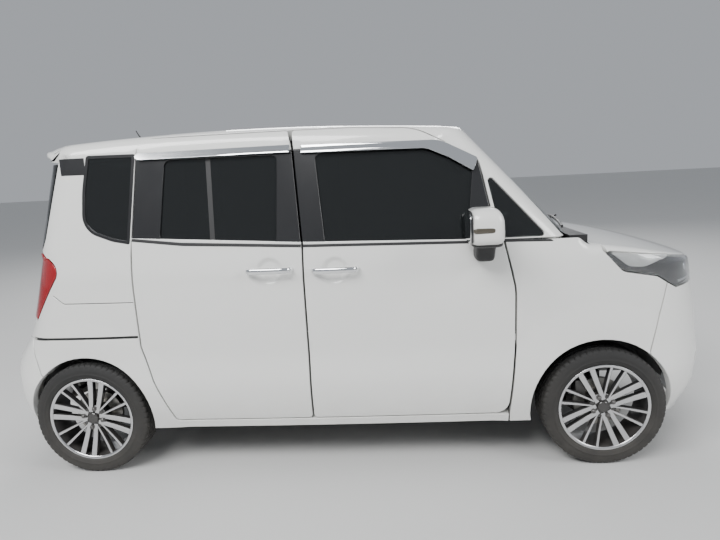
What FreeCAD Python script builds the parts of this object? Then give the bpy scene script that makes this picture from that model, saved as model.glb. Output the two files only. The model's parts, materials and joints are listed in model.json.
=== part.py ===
"""Kei car: a short, tall, box-shaped five-door wagon on 16 inch alloy wheels.

X points forward, Y to the car's left and Z up. The origin lies on the ground under the middle
of the body's length. Sizes are millimetres. The outer form is a pair of exact lofts: the body
below the window line and the glasshouse above it. Every panel is a piece of the wall between
that form and the same form moved inwards, cut where the real panels meet.
"""
import FreeCAD, Part
import math
import os

V = FreeCAD.Vector
X_AXIS = V(1, 0, 0)
Y_AXIS = V(0, 1, 0)
Z_AXIS = V(0, 0, 1)
ORIGIN = V(0, 0, 0)

# Driving sizes of the whole car
wheelbase = 2520.0
front_axle_x = 1192.5
rear_axle_x = front_axle_x - wheelbase
wheel_plane_y = 690.0
tyre_radius = 288.0
tyre_width = 190.0
roof_height = 1700.0
belt_height = 1110.0

# Plan sections of the body below the window line: height, half width, rear end, front end
BODY_SECTIONS = (
    (222.0, 752.0, -1752.0, 1722.0),
    (430.0, 791.0, -1797.5, 1797.5),
    (600.0, 778.0, -1784.0, 1787.0),
    (705.0, 783.0, -1712.0, 1773.0),
    (860.0, 787.0, -1652.0, 1748.0),
    (1020.0, 783.0, -1607.0, 1725.0),
    (belt_height, 766.0, -1590.0, 1715.0),
)
side_bow = 40000.0
side_bow_x = -50.0
rear_bow = 5000.0
nose_bow = 2200.0
rear_corner = 190.0
nose_corner = 380.0

# The glasshouse stands on the window line and leans inwards as it rises
glass_half = 766.0
glass_rear = -1590.0
glass_front = 1121.0
side_lean = 0.192
rear_lean = 0.194
screen_lean = 0.953
screen_bow = 2600.0
tail_bow = 5000.0
pillar_corner = 120.0
tail_corner = 150.0
glasshouse_top = 1740.0

# The roof is bowed both ways, and so is the bonnet
roof_peak_x = -500.0
roof_bow_long = 13000.0
roof_bow_cross = 7500.0
roof_edge_round = 80.0
bonnet_line = ((1130.0, 1096.0), (1400.0, 1056.0), (1700.0, 968.0))
bonnet_bow_cross = 9000.0
bonnet_edge_round = 45.0
cowl_x = 1122.0

# Wall thicknesses and gaps
skin = 32.0
wall = 72.0
shut_gap = 9.0
frame_depth = 45.0
seat_gap = 0.3
bed_gap = 0.8
hinge_heights = (640, 790)
handle_length = 216.0
handle_face = 832.0
handle_thick = 15.0
handle_starts = (-158.0, -468.0)
handle_heights = (1008.0, 1016.0)
glass_depth = 12.0
glass_thickness = 5.0

# Wheel arches and the flares round them
front_arch = 335.0
rear_arch = 320.0
axle_height = tyre_radius
front_arch_x = front_axle_x - 10
front_well_inner = 425.0
rear_well_inner = 505.0
flare_width = 797.5
flare_land = 30.0
flare_reach = 130.0
flare_foot = 764.0
flare_swell = 13.0

# Running gear
strut_top_y = 545.0
strut_top_z = 830.0
ball_y = 640.0
ball_z = 185.0
stub_end_y = 630.0
stub_radius = 30.0
rim_lip = 215.0
bead_seat = 204.5
rim_inner = 192.0
lug_circle = 100.0
lug_hole = 8.0
disc_radius = 120.0
rear_rim_turn = 39.0
# Spoke pairs: angle, width, offset at the rim, offset at the hub
spoke_pairs = ((64, 26, 30, 17), (109, 13, 38, 11), (154, 26, 30, 17), (199, 13, 38, 11),
               (244, 26, 30, 17), (289, 13, 38, 11), (334, 26, 30, 17), (19, 13, 38, 11))

# Floor, bulkheads and rails of the body
floor_low = 225.0
floor_top = 255.0
boot_floor = 600.0
firewall_x = 1040.0


def box(x0, x1, y0, y1, z0, z1):
    """A box between two corners."""
    return Part.makeBox(x1 - x0, y1 - y0, z1 - z0, V(x0, y0, z0))


def mirrored(shape):
    """The same piece on the other side of the car."""
    return shape.mirror(ORIGIN, Y_AXIS)


def both(shape):
    """A piece and its mirror image, as one compound of two solids."""
    return Part.makeCompound([shape, mirrored(shape)])


def cylinder(radius, start, end):
    """A round bar from one point to another."""
    axis = end.sub(start)
    return Part.makeCylinder(radius, axis.Length, start, axis)


def rounded_wire(points, radius):
    """A closed outline through corner points, each corner rounded with its own radius or one for all."""
    count = len(points)
    radii = radius if hasattr(radius, "__len__") else [radius] * count
    edges = []
    last = None
    first = None
    for i, corner in enumerate(points):
        back = points[i - 1].sub(corner).normalize()
        ahead = points[(i + 1) % count].sub(corner).normalize()
        half_angle = back.getAngle(ahead) / 2.0
        r = radii[i]
        if r <= 0 or abs(half_angle - math.pi / 2) < 1e-4:
            start = end = corner
        else:
            reach = r / math.tan(half_angle)
            start = corner.add(V(back).multiply(reach))
            end = corner.add(V(ahead).multiply(reach))
            bisector = back.add(ahead).normalize()
            middle = corner.add(bisector.multiply(r / math.sin(half_angle) - r))
        if last is not None and last.distanceToPoint(start) > 1e-6:
            edges.append(Part.LineSegment(last, start).toShape())
        if start is not end:
            edges.append(Part.Arc(start, middle, end).toShape())
        if first is None:
            first = start
        last = end
    if last.distanceToPoint(first) > 1e-6:
        edges.append(Part.LineSegment(last, first).toShape())
    return Part.Wire(edges)


def side_wire(points, radius=0.0):
    """An outline seen from the side, from (x, z) points."""
    return rounded_wire([V(x, 0, z) for x, z in points], radius)


def grown(wire, distance):
    """An outline moved outwards, or inwards where the distance is negative."""
    return wire.makeOffset2D(distance, 2, False, False, True)


def side_prism(wire, y0, y1):
    """An outline seen from the side, carried across from y0 to y1."""
    face = Part.Face(wire)
    face.translate(V(0, y0, 0))
    return face.extrude(V(0, y1 - y0, 0))


def front_prism(points, radius, x0, x1):
    """An outline seen from the front, from (y, z) points, carried from x0 to x1."""
    wire = rounded_wire([V(x0, y, z) for y, z in points], radius)
    return Part.Face(wire).extrude(V(x1 - x0, 0, 0))


def plan_prism(points, radius, z0, z1):
    """An outline seen from above, from (x, y) points, carried from z0 to z1."""
    wire = rounded_wire([V(x, y, z0) for x, y in points], radius)
    return Part.Face(wire).extrude(V(0, 0, z1 - z0))


def tangent_corner(c1, r1, c2, r2, r, x_sign):
    """Centre of a small circle of radius r that lies inside two large ones and touches both."""
    a, b = r1 - r, r2 - r
    dx, dy = c2[0] - c1[0], c2[1] - c1[1]
    d = math.hypot(dx, dy)
    along = (a * a - b * b + d * d) / (2 * d)
    across = math.sqrt(max(a * a - along * along, 0.0))
    mid = (c1[0] + dx * along / d, c1[1] + dy * along / d)
    found = [(mid[0] - s * dy * across / d, mid[1] + s * dx * across / d) for s in (1, -1)]
    return max(found, key=lambda p: p[1] + x_sign * p[0])


def plan_wire(z, half, rear, front, bows, corners):
    """One plan section: bowed rear, sides and front, with tangent corner arcs."""
    bow_rear, bow_front = bows
    corner_rear, corner_front = corners
    side_c = (side_bow_x, half - side_bow)
    rear_c = (rear + bow_rear, 0.0)
    front_c = (front - bow_front, 0.0)

    def on(circle, radius, toward):
        dx, dy = toward[0] - circle[0], toward[1] - circle[1]
        d = math.hypot(dx, dy)
        return (circle[0] + dx * radius / d, circle[1] + dy * radius / d)

    rear_m = tangent_corner(side_c, side_bow, rear_c, bow_rear, corner_rear, -1)
    front_m = tangent_corner(side_c, side_bow, front_c, bow_front, corner_front, 1)
    rear_end = on(rear_c, bow_rear, rear_m)
    rear_side = on(side_c, side_bow, rear_m)
    front_side = on(side_c, side_bow, front_m)
    front_end = on(front_c, bow_front, front_m)

    def bulge(centre, radius, p, q):
        return on(centre, radius, ((p[0] + q[0]) / 2, (p[1] + q[1]) / 2))

    left = [
        (rear_end, bulge(rear_m, corner_rear, rear_end, rear_side), rear_side),
        (rear_side, (side_bow_x, half), front_side),
        (front_side, bulge(front_m, corner_front, front_side, front_end), front_end),
    ]
    arcs = list(left)
    arcs.append((front_end, (front, 0.0), (front_end[0], -front_end[1])))
    for p, m, q in reversed(left):
        arcs.append(((q[0], -q[1]), (m[0], -m[1]), (p[0], -p[1])))
    arcs.append(((rear_end[0], -rear_end[1]), (rear, 0.0), rear_end))
    return Part.Wire([Part.Arc(*[V(px, py, z) for px, py in arc]).toShape() for arc in arcs])


def roof_bowl(depth):
    """Everything under the roof surface, lowered by a depth: a cross arc swung about a far axis."""
    top = roof_height - depth
    reach = 950.0
    edge = top - reach * reach / (2 * (roof_bow_cross - depth))
    low = 700.0
    corners = [V(roof_peak_x, -reach, edge), V(roof_peak_x, 0, top), V(roof_peak_x, reach, edge)]
    lower = [V(roof_peak_x, reach, low), V(roof_peak_x, -reach, low)]
    edges = [Part.Arc(*corners).toShape()]
    edges += [Part.LineSegment(a, b).toShape() for a, b in
              ((corners[2], lower[0]), (lower[0], lower[1]), (lower[1], corners[0]))]
    face = Part.Face(Part.Wire(edges))
    centre = V(roof_peak_x, 0, roof_height - roof_bow_long)
    swing = 13.0
    face.rotate(centre, Y_AXIS, -swing)
    return face.revolve(centre, Y_AXIS, 2 * swing)


def circle_through(a, b, c):
    """Centre and radius of the circle through three points."""
    (ax, az), (bx, bz), (cx, cz) = a, b, c
    d = 2 * (ax * (bz - cz) + bx * (cz - az) + cx * (az - bz))
    sa, sb, sc = ax * ax + az * az, bx * bx + bz * bz, cx * cx + cz * cz
    x = (sa * (bz - cz) + sb * (cz - az) + sc * (az - bz)) / d
    z = (sa * (cx - bx) + sb * (ax - cx) + sc * (bx - ax)) / d
    return x, z, math.hypot(ax - x, az - z)


def bonnet_bowl(depth):
    """Everything under the bonnet surface, lowered by a depth."""
    x, z, radius = circle_through(*bonnet_line)
    top = z + radius - depth
    reach = 950.0
    edge = top - reach * reach / (2 * (bonnet_bow_cross - depth))
    low = z + 300.0
    upper = [V(x, -reach, edge), V(x, 0, top), V(x, reach, edge)]
    lower = [V(x, reach, low), V(x, -reach, low)]
    edges = [Part.Arc(*upper).toShape()]
    edges += [Part.LineSegment(a, b).toShape() for a, b in
              ((upper[2], lower[0]), (lower[0], lower[1]), (lower[1], upper[0]))]
    face = Part.Face(Part.Wire(edges))
    centre = V(x, 0, z)
    return face.revolve(centre, Y_AXIS, 60.0)


def flare(axle_x, arch, inner):
    """The swelling round one wheel arch, as a shallow cone about the axle on the right side."""
    profile = [V(axle_x, -inner, axle_height + arch - 60),
               V(axle_x, -flare_width, axle_height + arch - 60),
               V(axle_x, -flare_width, axle_height + arch + flare_land),
               V(axle_x, -flare_foot, axle_height + arch + flare_reach),
               V(axle_x, -inner, axle_height + arch + flare_reach)]
    face = Part.Face(Part.makePolygon(profile + profile[:1]))
    ring = face.revolve(V(axle_x, 0, axle_height), Y_AXIS, 360)
    ring = ring.common(box(axle_x - 600, axle_x + 600, -900, 0, BODY_SECTIONS[0][0], 1000))
    return ring.common(lower_body(-flare_swell))


def lower_body(inset):
    """The body below the window line, moved inwards by an inset."""
    bows = (rear_bow - inset, nose_bow - inset)
    corners = (rear_corner - inset, nose_corner - inset)
    wires = [plan_wire(z, half - inset, rear + inset, front - inset, bows, corners)
             for z, half, rear, front in BODY_SECTIONS]
    loft = Part.makeLoft(wires, True, True)
    behind = box(-2000, cowl_x - inset, -900, 900, 100, belt_height + 5)
    return loft.common(bonnet_bowl(inset).fuse(behind))


def glasshouse(inset):
    """The cabin above the window line, moved inwards by an inset."""
    rise = glasshouse_top - belt_height
    bows = (tail_bow - inset, screen_bow - inset)
    corners = (tail_corner - inset, pillar_corner - inset)
    foot = plan_wire(belt_height, glass_half - inset, glass_rear + inset,
                     glass_front - inset * 1.4, bows, corners)
    head = plan_wire(glasshouse_top, glass_half - side_lean * rise - inset,
                     glass_rear + rear_lean * rise + inset,
                     glass_front - screen_lean * rise - inset * 1.4, bows, corners)
    return Part.makeLoft([foot, head], True, True).common(roof_bowl(inset))


def top_edges(shape, above):
    """Edges of a shape that lie wholly above a height."""
    return [e for e in shape.Edges if e.BoundBox.ZMin > above and e.Length > 5]


def solids_of(shape, smallest=2000.0):
    """The shape as one solid, or a compound of its solids without slivers."""
    parts = [s for s in shape.Solids if s.Volume > smallest]
    if len(parts) == 1:
        return parts[0]
    return Part.makeCompound(parts)


def right_half(shape):
    """What lies on the car's right side."""
    return shape.common(box(-2500, 2500, -1200, 0, -100, 2000))


def layer(outer_inset, inner_inset):
    """The glasshouse wall between two insets."""
    return glasshouse(outer_inset).cut(glasshouse(inner_inset))


# Outlines seen from the side, as (x, z), with a radius for each corner
front_door_outline = (
    (-196, 268, 15), (742, 268, 70), (776, 600, 500), (776, 880, 300), (728, 1098, 10), (704, 1108, 10),
    (626, 1480, 60), (340, 1652, 260), (-232, 1655, 10), (-196, 1110, 200))
rear_door_outline = (
    (-205, 268, 15), (-205, 1100, 200), (-252, 1655, 10), (-985, 1655, 90), (-1026, 1110, 400),
    (-1026, 660, 120), (-975, 480, 300), (-888, 268, 30))
rear_opening_outline = (
    (-205, 268, 15), (-205, 1100, 200), (-252, 1655, 10), (-997, 1655, 90), (-1027, 1110, 400),
    (-1026, 660, 120), (-975, 480, 300), (-888, 268, 30))
front_window = ((-92, 1136, 25), (-128, 1545, 35), (455, 1545, 90), (600, 1440, 25), (563, 1112, 25))
rear_window = ((-322, 1145, 25), (-886, 1174, 30), (-850, 1550, 35), (-306, 1545, 25))
quarter_window = ((-1040, 1178, 20), (-1180, 1196, 60), (-1250, 1300, 80), (-1228, 1570, 40), (-1022, 1575, 20))
front_triangle = ((722, 1116, 20), (655, 1430, 15), (930, 1116, 15))
headlamp_side = ((1172, 1036, 20), (1267, 945, 60), (1425, 915, 60), (1530, 850, 30), (1640, 866, 0), (1640, 1015, 0), (1477, 1020, 60))
headlamp_front = ((-430, 905, 20), (-440, 948, 20), (-800, 1015, 0), (-800, 850, 0), (-560, 862, 60))
tail_lamp_side = ((-1562, 1122, 20), (-1509, 1134, 20), (-1392, 1052, 60), (-1560, 800, 20), (-1700, 800, 0), (-1700, 1110, 0))
tail_lamp_rear = ((-565, 1120, 20), (-800, 1120, 0), (-800, 812, 0), (-600, 830, 25))
tailgate_seam = ((-1406, 1800, 0), (-1390, 1580, 60), (-1478, 1200, 60), (-1512, 1136, 20), (-1900, 1136, 0), (-1900, 1800, 0))
screen_outline = ((-706, 1112, 30), (706, 1112, 30), (548, 1602, 60), (-548, 1602, 60))
tail_glass_side = ((-1398, 1556, 30), (-1482, 1190, 40), (-1512, 1150, 10), (-1900, 1150, 0), (-1900, 1570, 0))
bonnet_plan = ((1134, -706, 10), (1480, -700, 60), (1660, -470, 260), (1760, -200, 300), (1760, 200, 300),
               (1660, 470, 260), (1480, 700, 60), (1134, 706, 10))
spoiler_side = ((-1412, 1682, 0), (-1540, 1668, 60), (-1602, 1622, 12), (-1602, 1600, 6),
                (-1490, 1584, 0), (-1412, 1640, 0))
spoiler_plan = ((-1300, -588, 0), (-1500, -575, 110), (-1596, -330, 300), (-1596, 330, 300),
                (-1500, 575, 110), (-1300, 588, 0))
bumper_seam_front = ((1500, 1200, 0), (1480, 900, 20), (1398, 560, 20), (1398, 100, 0), (1900, 100, 0), (1900, 1200, 0))
rear_bumper_low = 250
strip_end_x = 60
bumper_seam_rear = ((-1604, 706, 10), (-1556, 520, 20), (-1556, rear_bumper_low, 0),
                    (-1900, rear_bumper_low, 0), (-1900, 706, 0))


def outline_points(table):
    """The two coordinates of each corner of an outline."""
    return [(a, b) for a, b, _ in table]


def outline_radii(table):
    """The radius of each corner of an outline."""
    return [r for _, _, r in table]



def side_cut(table, y0, y1, margin=0.0):
    """A prism through a side outline, moved outwards by a margin."""
    wire = side_wire(outline_points(table), outline_radii(table))
    if margin:
        wire = grown(wire, margin)
    return side_prism(wire, y0, y1)


def front_cut(table, x0, x1, margin=0.0):
    """A prism through a front outline, moved outwards by a margin."""
    wire = rounded_wire([V(0, y, z) for y, z, _ in table], outline_radii(table))
    if margin:
        wire = grown(wire, margin)
    face = Part.Face(wire)
    face.translate(V(x0, 0, 0))
    return face.extrude(V(x1 - x0, 0, 0))


def plan_cut(table, z0, z1, margin=0.0):
    """A prism through a plan outline, moved outwards by a margin."""
    wire = rounded_wire([V(x, y, 0) for x, y, _ in table], outline_radii(table))
    if margin:
        wire = grown(wire, margin)
    face = Part.Face(wire)
    face.translate(V(0, 0, z0))
    return face.extrude(V(0, 0, z1 - z0))


def shell_forms():
    """The outer form with its flares and arches, the walls cut from it, and the bed of the front wing."""
    lower = lower_body(0)
    arches = []
    for arch_x, arch, inner_y in ((front_arch_x, front_arch, front_well_inner), (rear_axle_x, rear_arch, rear_well_inner)):
        swelling = flare(arch_x, arch, 600)
        lower = lower.fuse(swelling).fuse(mirrored(swelling))
        opening = cylinder(arch, V(arch_x, -900, axle_height), V(arch_x, -inner_y, axle_height))
        opening = opening.fuse(box(arch_x - arch + 4, arch_x + arch - 4, -900, -inner_y, 0, axle_height))
        arches.append(opening.fuse(mirrored(opening)))
    upper = glasshouse(0)
    upper = upper.makeFillet(roof_edge_round, top_edges(upper, 1560))
    inner = lower_body(wall).fuse(glasshouse(wall))
    middle = box(-1600, 1600, -480, 480, 0, 900)
    thick = lower.fuse(upper).cut(inner).cut(middle)
    thin = lower.cut(lower_body(skin))
    wing_bed = lower.common(box(700, 1900, -950, 0, 0, 1300)).cut(lower_body(skin + bed_gap))
    for arch in arches:
        thick = thick.cut(arch)
        thin = thin.cut(arch)
    return thick, thin, inner, arches, wing_bed


def door_right(shell, outline, window):
    """One door of the right side: the whole wall, with a thinner frame round its window."""
    door = shell.common(side_cut(outline, -950, -596))
    return solids_of(door.cut(glasshouse(frame_depth)).cut(side_cut(window, -950, -500)))


thick, thin, inner, arches, wing_bed = shell_forms()
right_shell = right_half(thick)
pane = right_half(layer(glass_depth, glass_depth + glass_thickness))

# Zones that lamps, lids and bumpers fill
head_zone = side_cut(headlamp_side, -950, -470).fuse(front_cut(headlamp_front, 1560, 1900))
head_gap = side_cut(headlamp_side, -950, -461, shut_gap).fuse(front_cut(headlamp_front, 1560, 1900, shut_gap))
tail_zone = side_cut(tail_lamp_side, -950, -565).fuse(front_cut(tail_lamp_rear, -1900, -1540))
tail_gap = side_cut(tail_lamp_side, -950, -556, shut_gap).fuse(front_cut(tail_lamp_rear, -1900, -1540, shut_gap))
gate_low = 712
gate_zone = side_cut(tailgate_seam, -900, 900).fuse(box(-1900, -1490, -586, 586, gate_low, 1137))
gate_gap = side_cut(tailgate_seam, -900, 900, shut_gap).fuse(
    box(-1900, -1490, -586 - shut_gap, 586 + shut_gap, gate_low - shut_gap, 1150))
front_zone = side_cut(bumper_seam_front, -900, 900)
rear_zone = side_cut(bumper_seam_rear, -900, 900).fuse(box(-1900, -1500, -560, 560, rear_bumper_low, 706))
bonnet_low = 905
bonnet_zone = plan_cut(bonnet_plan, bonnet_low, 1300)
bonnet_gap = plan_cut(bonnet_plan, bonnet_low - shut_gap, 1300, shut_gap)
screen_zone = front_cut(screen_outline, 200, 1400)
roof_zone = box(-1500, 470, -560, 560, 1560, 1900)
fender_zone = box(776, 1900, -950, 950, 100, 1094)
cowl_zone = box(1040, 1124, -700, 700, 1060, 1110)
triangle = side_cut(front_triangle, -950, -500)
quarter = side_cut(quarter_window, -950, -500)
doors_open = side_cut(front_door_outline, -950, -590, shut_gap).fuse(
    side_cut(rear_opening_outline, -950, -590, shut_gap))


def body_side():
    """Sill, pillars, roof rail and rear quarter of the right side."""
    side = right_shell.cut(wing_bed.common(fender_zone))
    for zone in (doors_open, triangle, quarter, front_zone, rear_zone, gate_gap, tail_zone, screen_zone,
                 roof_zone, cowl_zone, box(1100, 2000, -900, 0, 0, 2000), box(-2000, -1500, -590, 0, 0, 1200),
                 box(-2000, -1540, -900, 0, 0, rear_bumper_low + 1)):
        side = side.cut(zone)
    for low in hinge_heights:
        side = side.fuse(box(776 + seat_gap, 790, -737, -718, low, low + 50))
    return solids_of(side.cut(box(strip_end_x, 480, -700, -588, 1650, 1700)))


def fender():
    """The right front wing, from the door to the bumper and from the sill to the bonnet."""
    piece = right_half(thin).common(fender_zone)
    for zone in (doors_open, front_zone, head_zone, bonnet_gap, cowl_zone, box(700, 1500, -560, 0, 0, 1300)):
        piece = piece.cut(zone)
    return solids_of(piece)


def handle_right(start, height):
    """A pull handle on the right side: a bar on two posts that stand on the door."""
    outline = ((start, height - 15, 14), (start + handle_length, height - 15, 14),
               (start + handle_length, height + 15, 14), (start, height + 15, 14))
    bar = side_cut(outline, -handle_face, -handle_face + handle_thick)
    for foot in (start, start + handle_length - 34):
        bar = bar.fuse(box(foot + 2, foot + 32, -handle_face + 2, -765, height - 11, height + 11))
    return bar.cut(lower_body(skin / 2))


def centre_pillar():
    """The door pillar of the left side, inboard of the two doors' meeting edges."""
    face, back = wall + shut_gap, wall + 40
    ring = lower_body(face).cut(lower_body(back)).fuse(glasshouse(face).cut(glasshouse(back)))
    pillar = ring.common(box(-262, -140, 300, 900, floor_top, 1640))
    leaves = lower_body(wall + seat_gap).cut(lower_body(face))
    for low in hinge_heights:
        pillar = pillar.fuse(leaves.common(box(-230, -210, 300, 900, low, low + 50)))
    return solids_of(pillar)


def mirror_right():
    """A door mirror: rounded housing on a foot that stands on the door below the window."""
    shell_plan = ((694, -800, 40), (694, -985, 70), (556, -1000, 30), (556, -800, 30))
    shell_side = ((552, 1116, 26), (696, 1112, 34), (690, 1236, 60), (610, 1274, 70), (552, 1266, 34))
    shell_front = ((-796, 1116, 30), (-1000, 1122, 34), (-1000, 1254, 50), (-900, 1274, 90), (-796, 1262, 34))
    housing = plan_cut(shell_plan, 1100, 1300).common(side_cut(shell_side, -1050, -750))
    housing = housing.common(front_cut(shell_front, 500, 800))
    face = box(540, 566, -970, -840, 1130, 1250)
    foot = plan_cut(((690, -770, 20), (670, -880, 30), (600, -880, 30), (590, -770, 20)), 1026, 1130)
    return solids_of(housing.cut(face).fuse(foot).cut(lower_body(0).fuse(glasshouse(0))))


def floor_pan():
    """Floor, bulkheads, wheel wells, rails and the towers over the front struts."""
    core = inner
    pan = core.common(box(-990, firewall_x + 20, -900, 900, floor_low, floor_top))
    pan = pan.fuse(core.common(box(-1750, -975, -900, 900, boot_floor, boot_floor + 16)))
    pan = pan.fuse(core.common(box(-991, -975, -900, 900, floor_low, boot_floor + 16)))
    pan = pan.fuse(core.common(box(firewall_x, firewall_x + 16, -900, 900, floor_low, 1060)))
    for arch_x, arch, inner_y in ((front_arch_x, front_arch, front_well_inner), (rear_axle_x, rear_arch, rear_well_inner)):
        well = cylinder(arch + 10, V(arch_x, -790, axle_height), V(arch_x, -inner_y + 10, axle_height))
        well = well.common(core).common(box(-1620, 1500, -900, 900, floor_low, 1000))
        pan = pan.fuse(well).fuse(mirrored(well))
    for arch in arches:
        pan = pan.cut(arch)
    nose = lower_body(skin + 15)
    for side in (-1, 1):
        for arch_x, arch in ((front_arch_x, front_arch), (rear_axle_x, rear_arch)):
            pan = pan.cut(box(arch_x - arch, arch_x + arch, *sorted((side * 410, side * 560)), 200, 380))
        pan = pan.fuse(box(firewall_x, 1712, *sorted((side * 330, side * 390)), 340, 420).common(nose))
        pan = pan.fuse(box(-1700, -985, *sorted((side * 240, side * 300)), boot_floor - 70, boot_floor))
        tower = cylinder(94, V(front_axle_x, side * strut_top_y, 560), V(front_axle_x, side * strut_top_y, 846))
        hollow = cylinder(84, V(front_axle_x, side * strut_top_y, 500), V(front_axle_x, side * strut_top_y, 836))
        pan = pan.fuse(tower.cut(arches[0])).cut(hollow)
    pan = pan.fuse(lower_body(skin).common(box(1700, 1900, -480, 480, 560, 640)))
    pan = pan.fuse(box(1680, 1712, -390, 390, 340, 600).common(nose))
    pan = pan.fuse(lower_body(skin).common(box(-1900, -1690, -560, 560, boot_floor - 70, 690)))
    pan = pan.fuse(core.common(box(-1750, -1560, -900, 900, boot_floor, 690)).cut(box(-1700, -1000, -640, 640, 616, 800)))
    return solids_of(pan)




def tyre():
    """A low tyre about the Y axis at the origin, hollow inside its tread and walls."""
    half = tyre_width / 2
    outline = [(bead_seat, -70), (250, -half), (tyre_radius, -half + 22),
               (tyre_radius, half - 22), (250, half), (bead_seat, 70)]
    points = [V(0, y, r) for r, y in outline]
    return Part.Face(Part.makePolygon(points + points[:1])).revolve(ORIGIN, Y_AXIS, 360)


def rim():
    """An alloy wheel about the Y axis, its face towards -Y, with eight pairs of spokes."""
    outline = [(rim_lip, -88), (rim_lip, -80), (bead_seat, -70), (bead_seat, 70), (rim_lip, 84),
               (rim_inner, 60), (rim_inner, -84)]
    points = [V(0, y, r) for r, y in outline]
    barrel = Part.Face(Part.makePolygon(points + points[:1])).revolve(ORIGIN, Y_AXIS, 360)
    hub = cylinder(74, V(0, -78, 0), V(0, -38, 0))
    wheel = barrel.fuse(hub)
    for angle, width, tip_offset, root_offset in spoke_pairs:
        for side in (-1, 1):
            tip = rim_inner + 6
            bar = [V(52, 0, side * root_offset - width / 2), V(tip, 0, side * tip_offset - width / 2),
                   V(tip, 0, side * tip_offset + width / 2), V(52, 0, side * root_offset + width / 2)]
            face = Part.Face(Part.makePolygon(bar + bar[:1]))
            face.translate(V(0, -84, 0))
            spoke = face.extrude(V(0, 24, 0))
            spoke.rotate(ORIGIN, Y_AXIS, angle)
            wheel = wheel.fuse(spoke)
    wheel = wheel.cut(cylinder(30, V(0, -120, 0), V(0, -84, 0)))
    cap = cylinder(28, V(0, -86, 0), V(0, -70, 0))
    stub = cylinder(stub_radius, V(0, -40, 0), V(0, wheel_plane_y - stub_end_y, 0))
    disc = cylinder(disc_radius, V(0, 0, 0), V(0, 18, 0))
    wheel = wheel.fuse(cap).fuse(stub).fuse(disc)
    for i in range(4):
        a = math.radians(spoke_pairs[0][0] + 90 * i)
        x, z = lug_circle / 2 * math.cos(a), -lug_circle / 2 * math.sin(a)
        wheel = wheel.cut(cylinder(lug_hole + 4, V(x, -120, z), V(x, -60, z)))
    return wheel


def knuckle():
    """Right front upright with its bearing ring, arms and strut, in the car's place."""
    y = -wheel_plane_y
    x = front_axle_x
    ring = cylinder(52, V(x, y + 42, axle_height), V(x, y + 82, axle_height))
    ring = ring.cut(cylinder(stub_radius + seat_gap, V(x, y, axle_height), V(x, y + 70, axle_height)))
    leg = box(x - 20, x + 20, y + 42, y + 70, ball_z + 10, axle_height - 40)
    pin_top = V(x, -ball_y + 2.2, ball_z + 15)
    pin = cylinder(9, V(x, -ball_y + 0.3, ball_z + 2), pin_top)
    leg = leg.fuse(pin)
    up = box(x - 24, x + 24, y + 58, y + 84, axle_height + 40, axle_height + 130)
    reach = box(x - 24, x + 24, y + 58, -strut_top_y - 12, axle_height + 90, axle_height + 130)
    arm = box(x - 130, x + 4, y + 71, y + 82, axle_height - 24, axle_height + 2)
    strut = cylinder(24, V(x, -strut_top_y - 12, axle_height + 70), V(x, -strut_top_y - 6, 620))
    rod = cylinder(11, V(x, -strut_top_y - 6, 600), V(x, -strut_top_y, strut_top_z))
    seat = cylinder(62, V(x, -strut_top_y - 8, 590), V(x, -strut_top_y - 8, 596))
    piece = ring.fuse(leg).fuse(up).fuse(reach).fuse(arm).fuse(strut).fuse(rod).fuse(seat)
    spring = cylinder(58, V(x, -strut_top_y - 6, 594), V(x, -strut_top_y - 6, 800))
    piece = piece.fuse(spring.cut(cylinder(46, V(x, -strut_top_y - 6, 597), V(x, -strut_top_y - 6, 900))))
    caliper = box(x - 118, x - 72, y - 26, y + 46, axle_height + 40, axle_height + 116).cut(
        cylinder(disc_radius + 7, V(x, y - 7, axle_height), V(x, y + 25, axle_height)))
    bracket = box(x - 100, x - 20, y + 46, y + 66, axle_height + 30, axle_height + 70)
    return solids_of(piece.fuse(caliper).fuse(bracket))


def front_suspension():
    """Subframe, lower arms, steering rack, strut mounts and drive shafts."""
    x = front_axle_x
    frame = box(x - 125, x - 50, -390, 390, 210, 270)
    piece = frame
    for side in (-1, 1):
        y0, y1 = sorted((side * 330, side * 390))
        piece = piece.fuse(box(x - 120, x - 60, y0, y1, 262, 340))
        arm = plan_prism([(x - 120, side * 350), (x - 20, side * (ball_y + 14)), (x + 20, side * (ball_y + 14)),
                          (x + 20, side * (ball_y - 30)), (x - 40, side * 350)], 0, ball_z - 20, ball_z)
        lug = box(x - 120, x - 50, *sorted((side * 335, side * 385)), ball_z - 20, 215)
        piece = piece.fuse(arm).fuse(lug)
        shaft = cylinder(13, V(x, side * 330, axle_height), V(x, side * 560, axle_height))
        joint = cylinder(34, V(x, side * 516, axle_height), V(x, side * 572, axle_height))
        inner_joint = cylinder(40, V(x, side * 320, axle_height), V(x, side * 380, axle_height))
        piece = piece.fuse(shaft).fuse(joint).fuse(inner_joint)
    rack = cylinder(18, V(x - 88, -405, 282), V(x - 88, 405, 282))
    return solids_of(piece.fuse(rack), 500)


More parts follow.
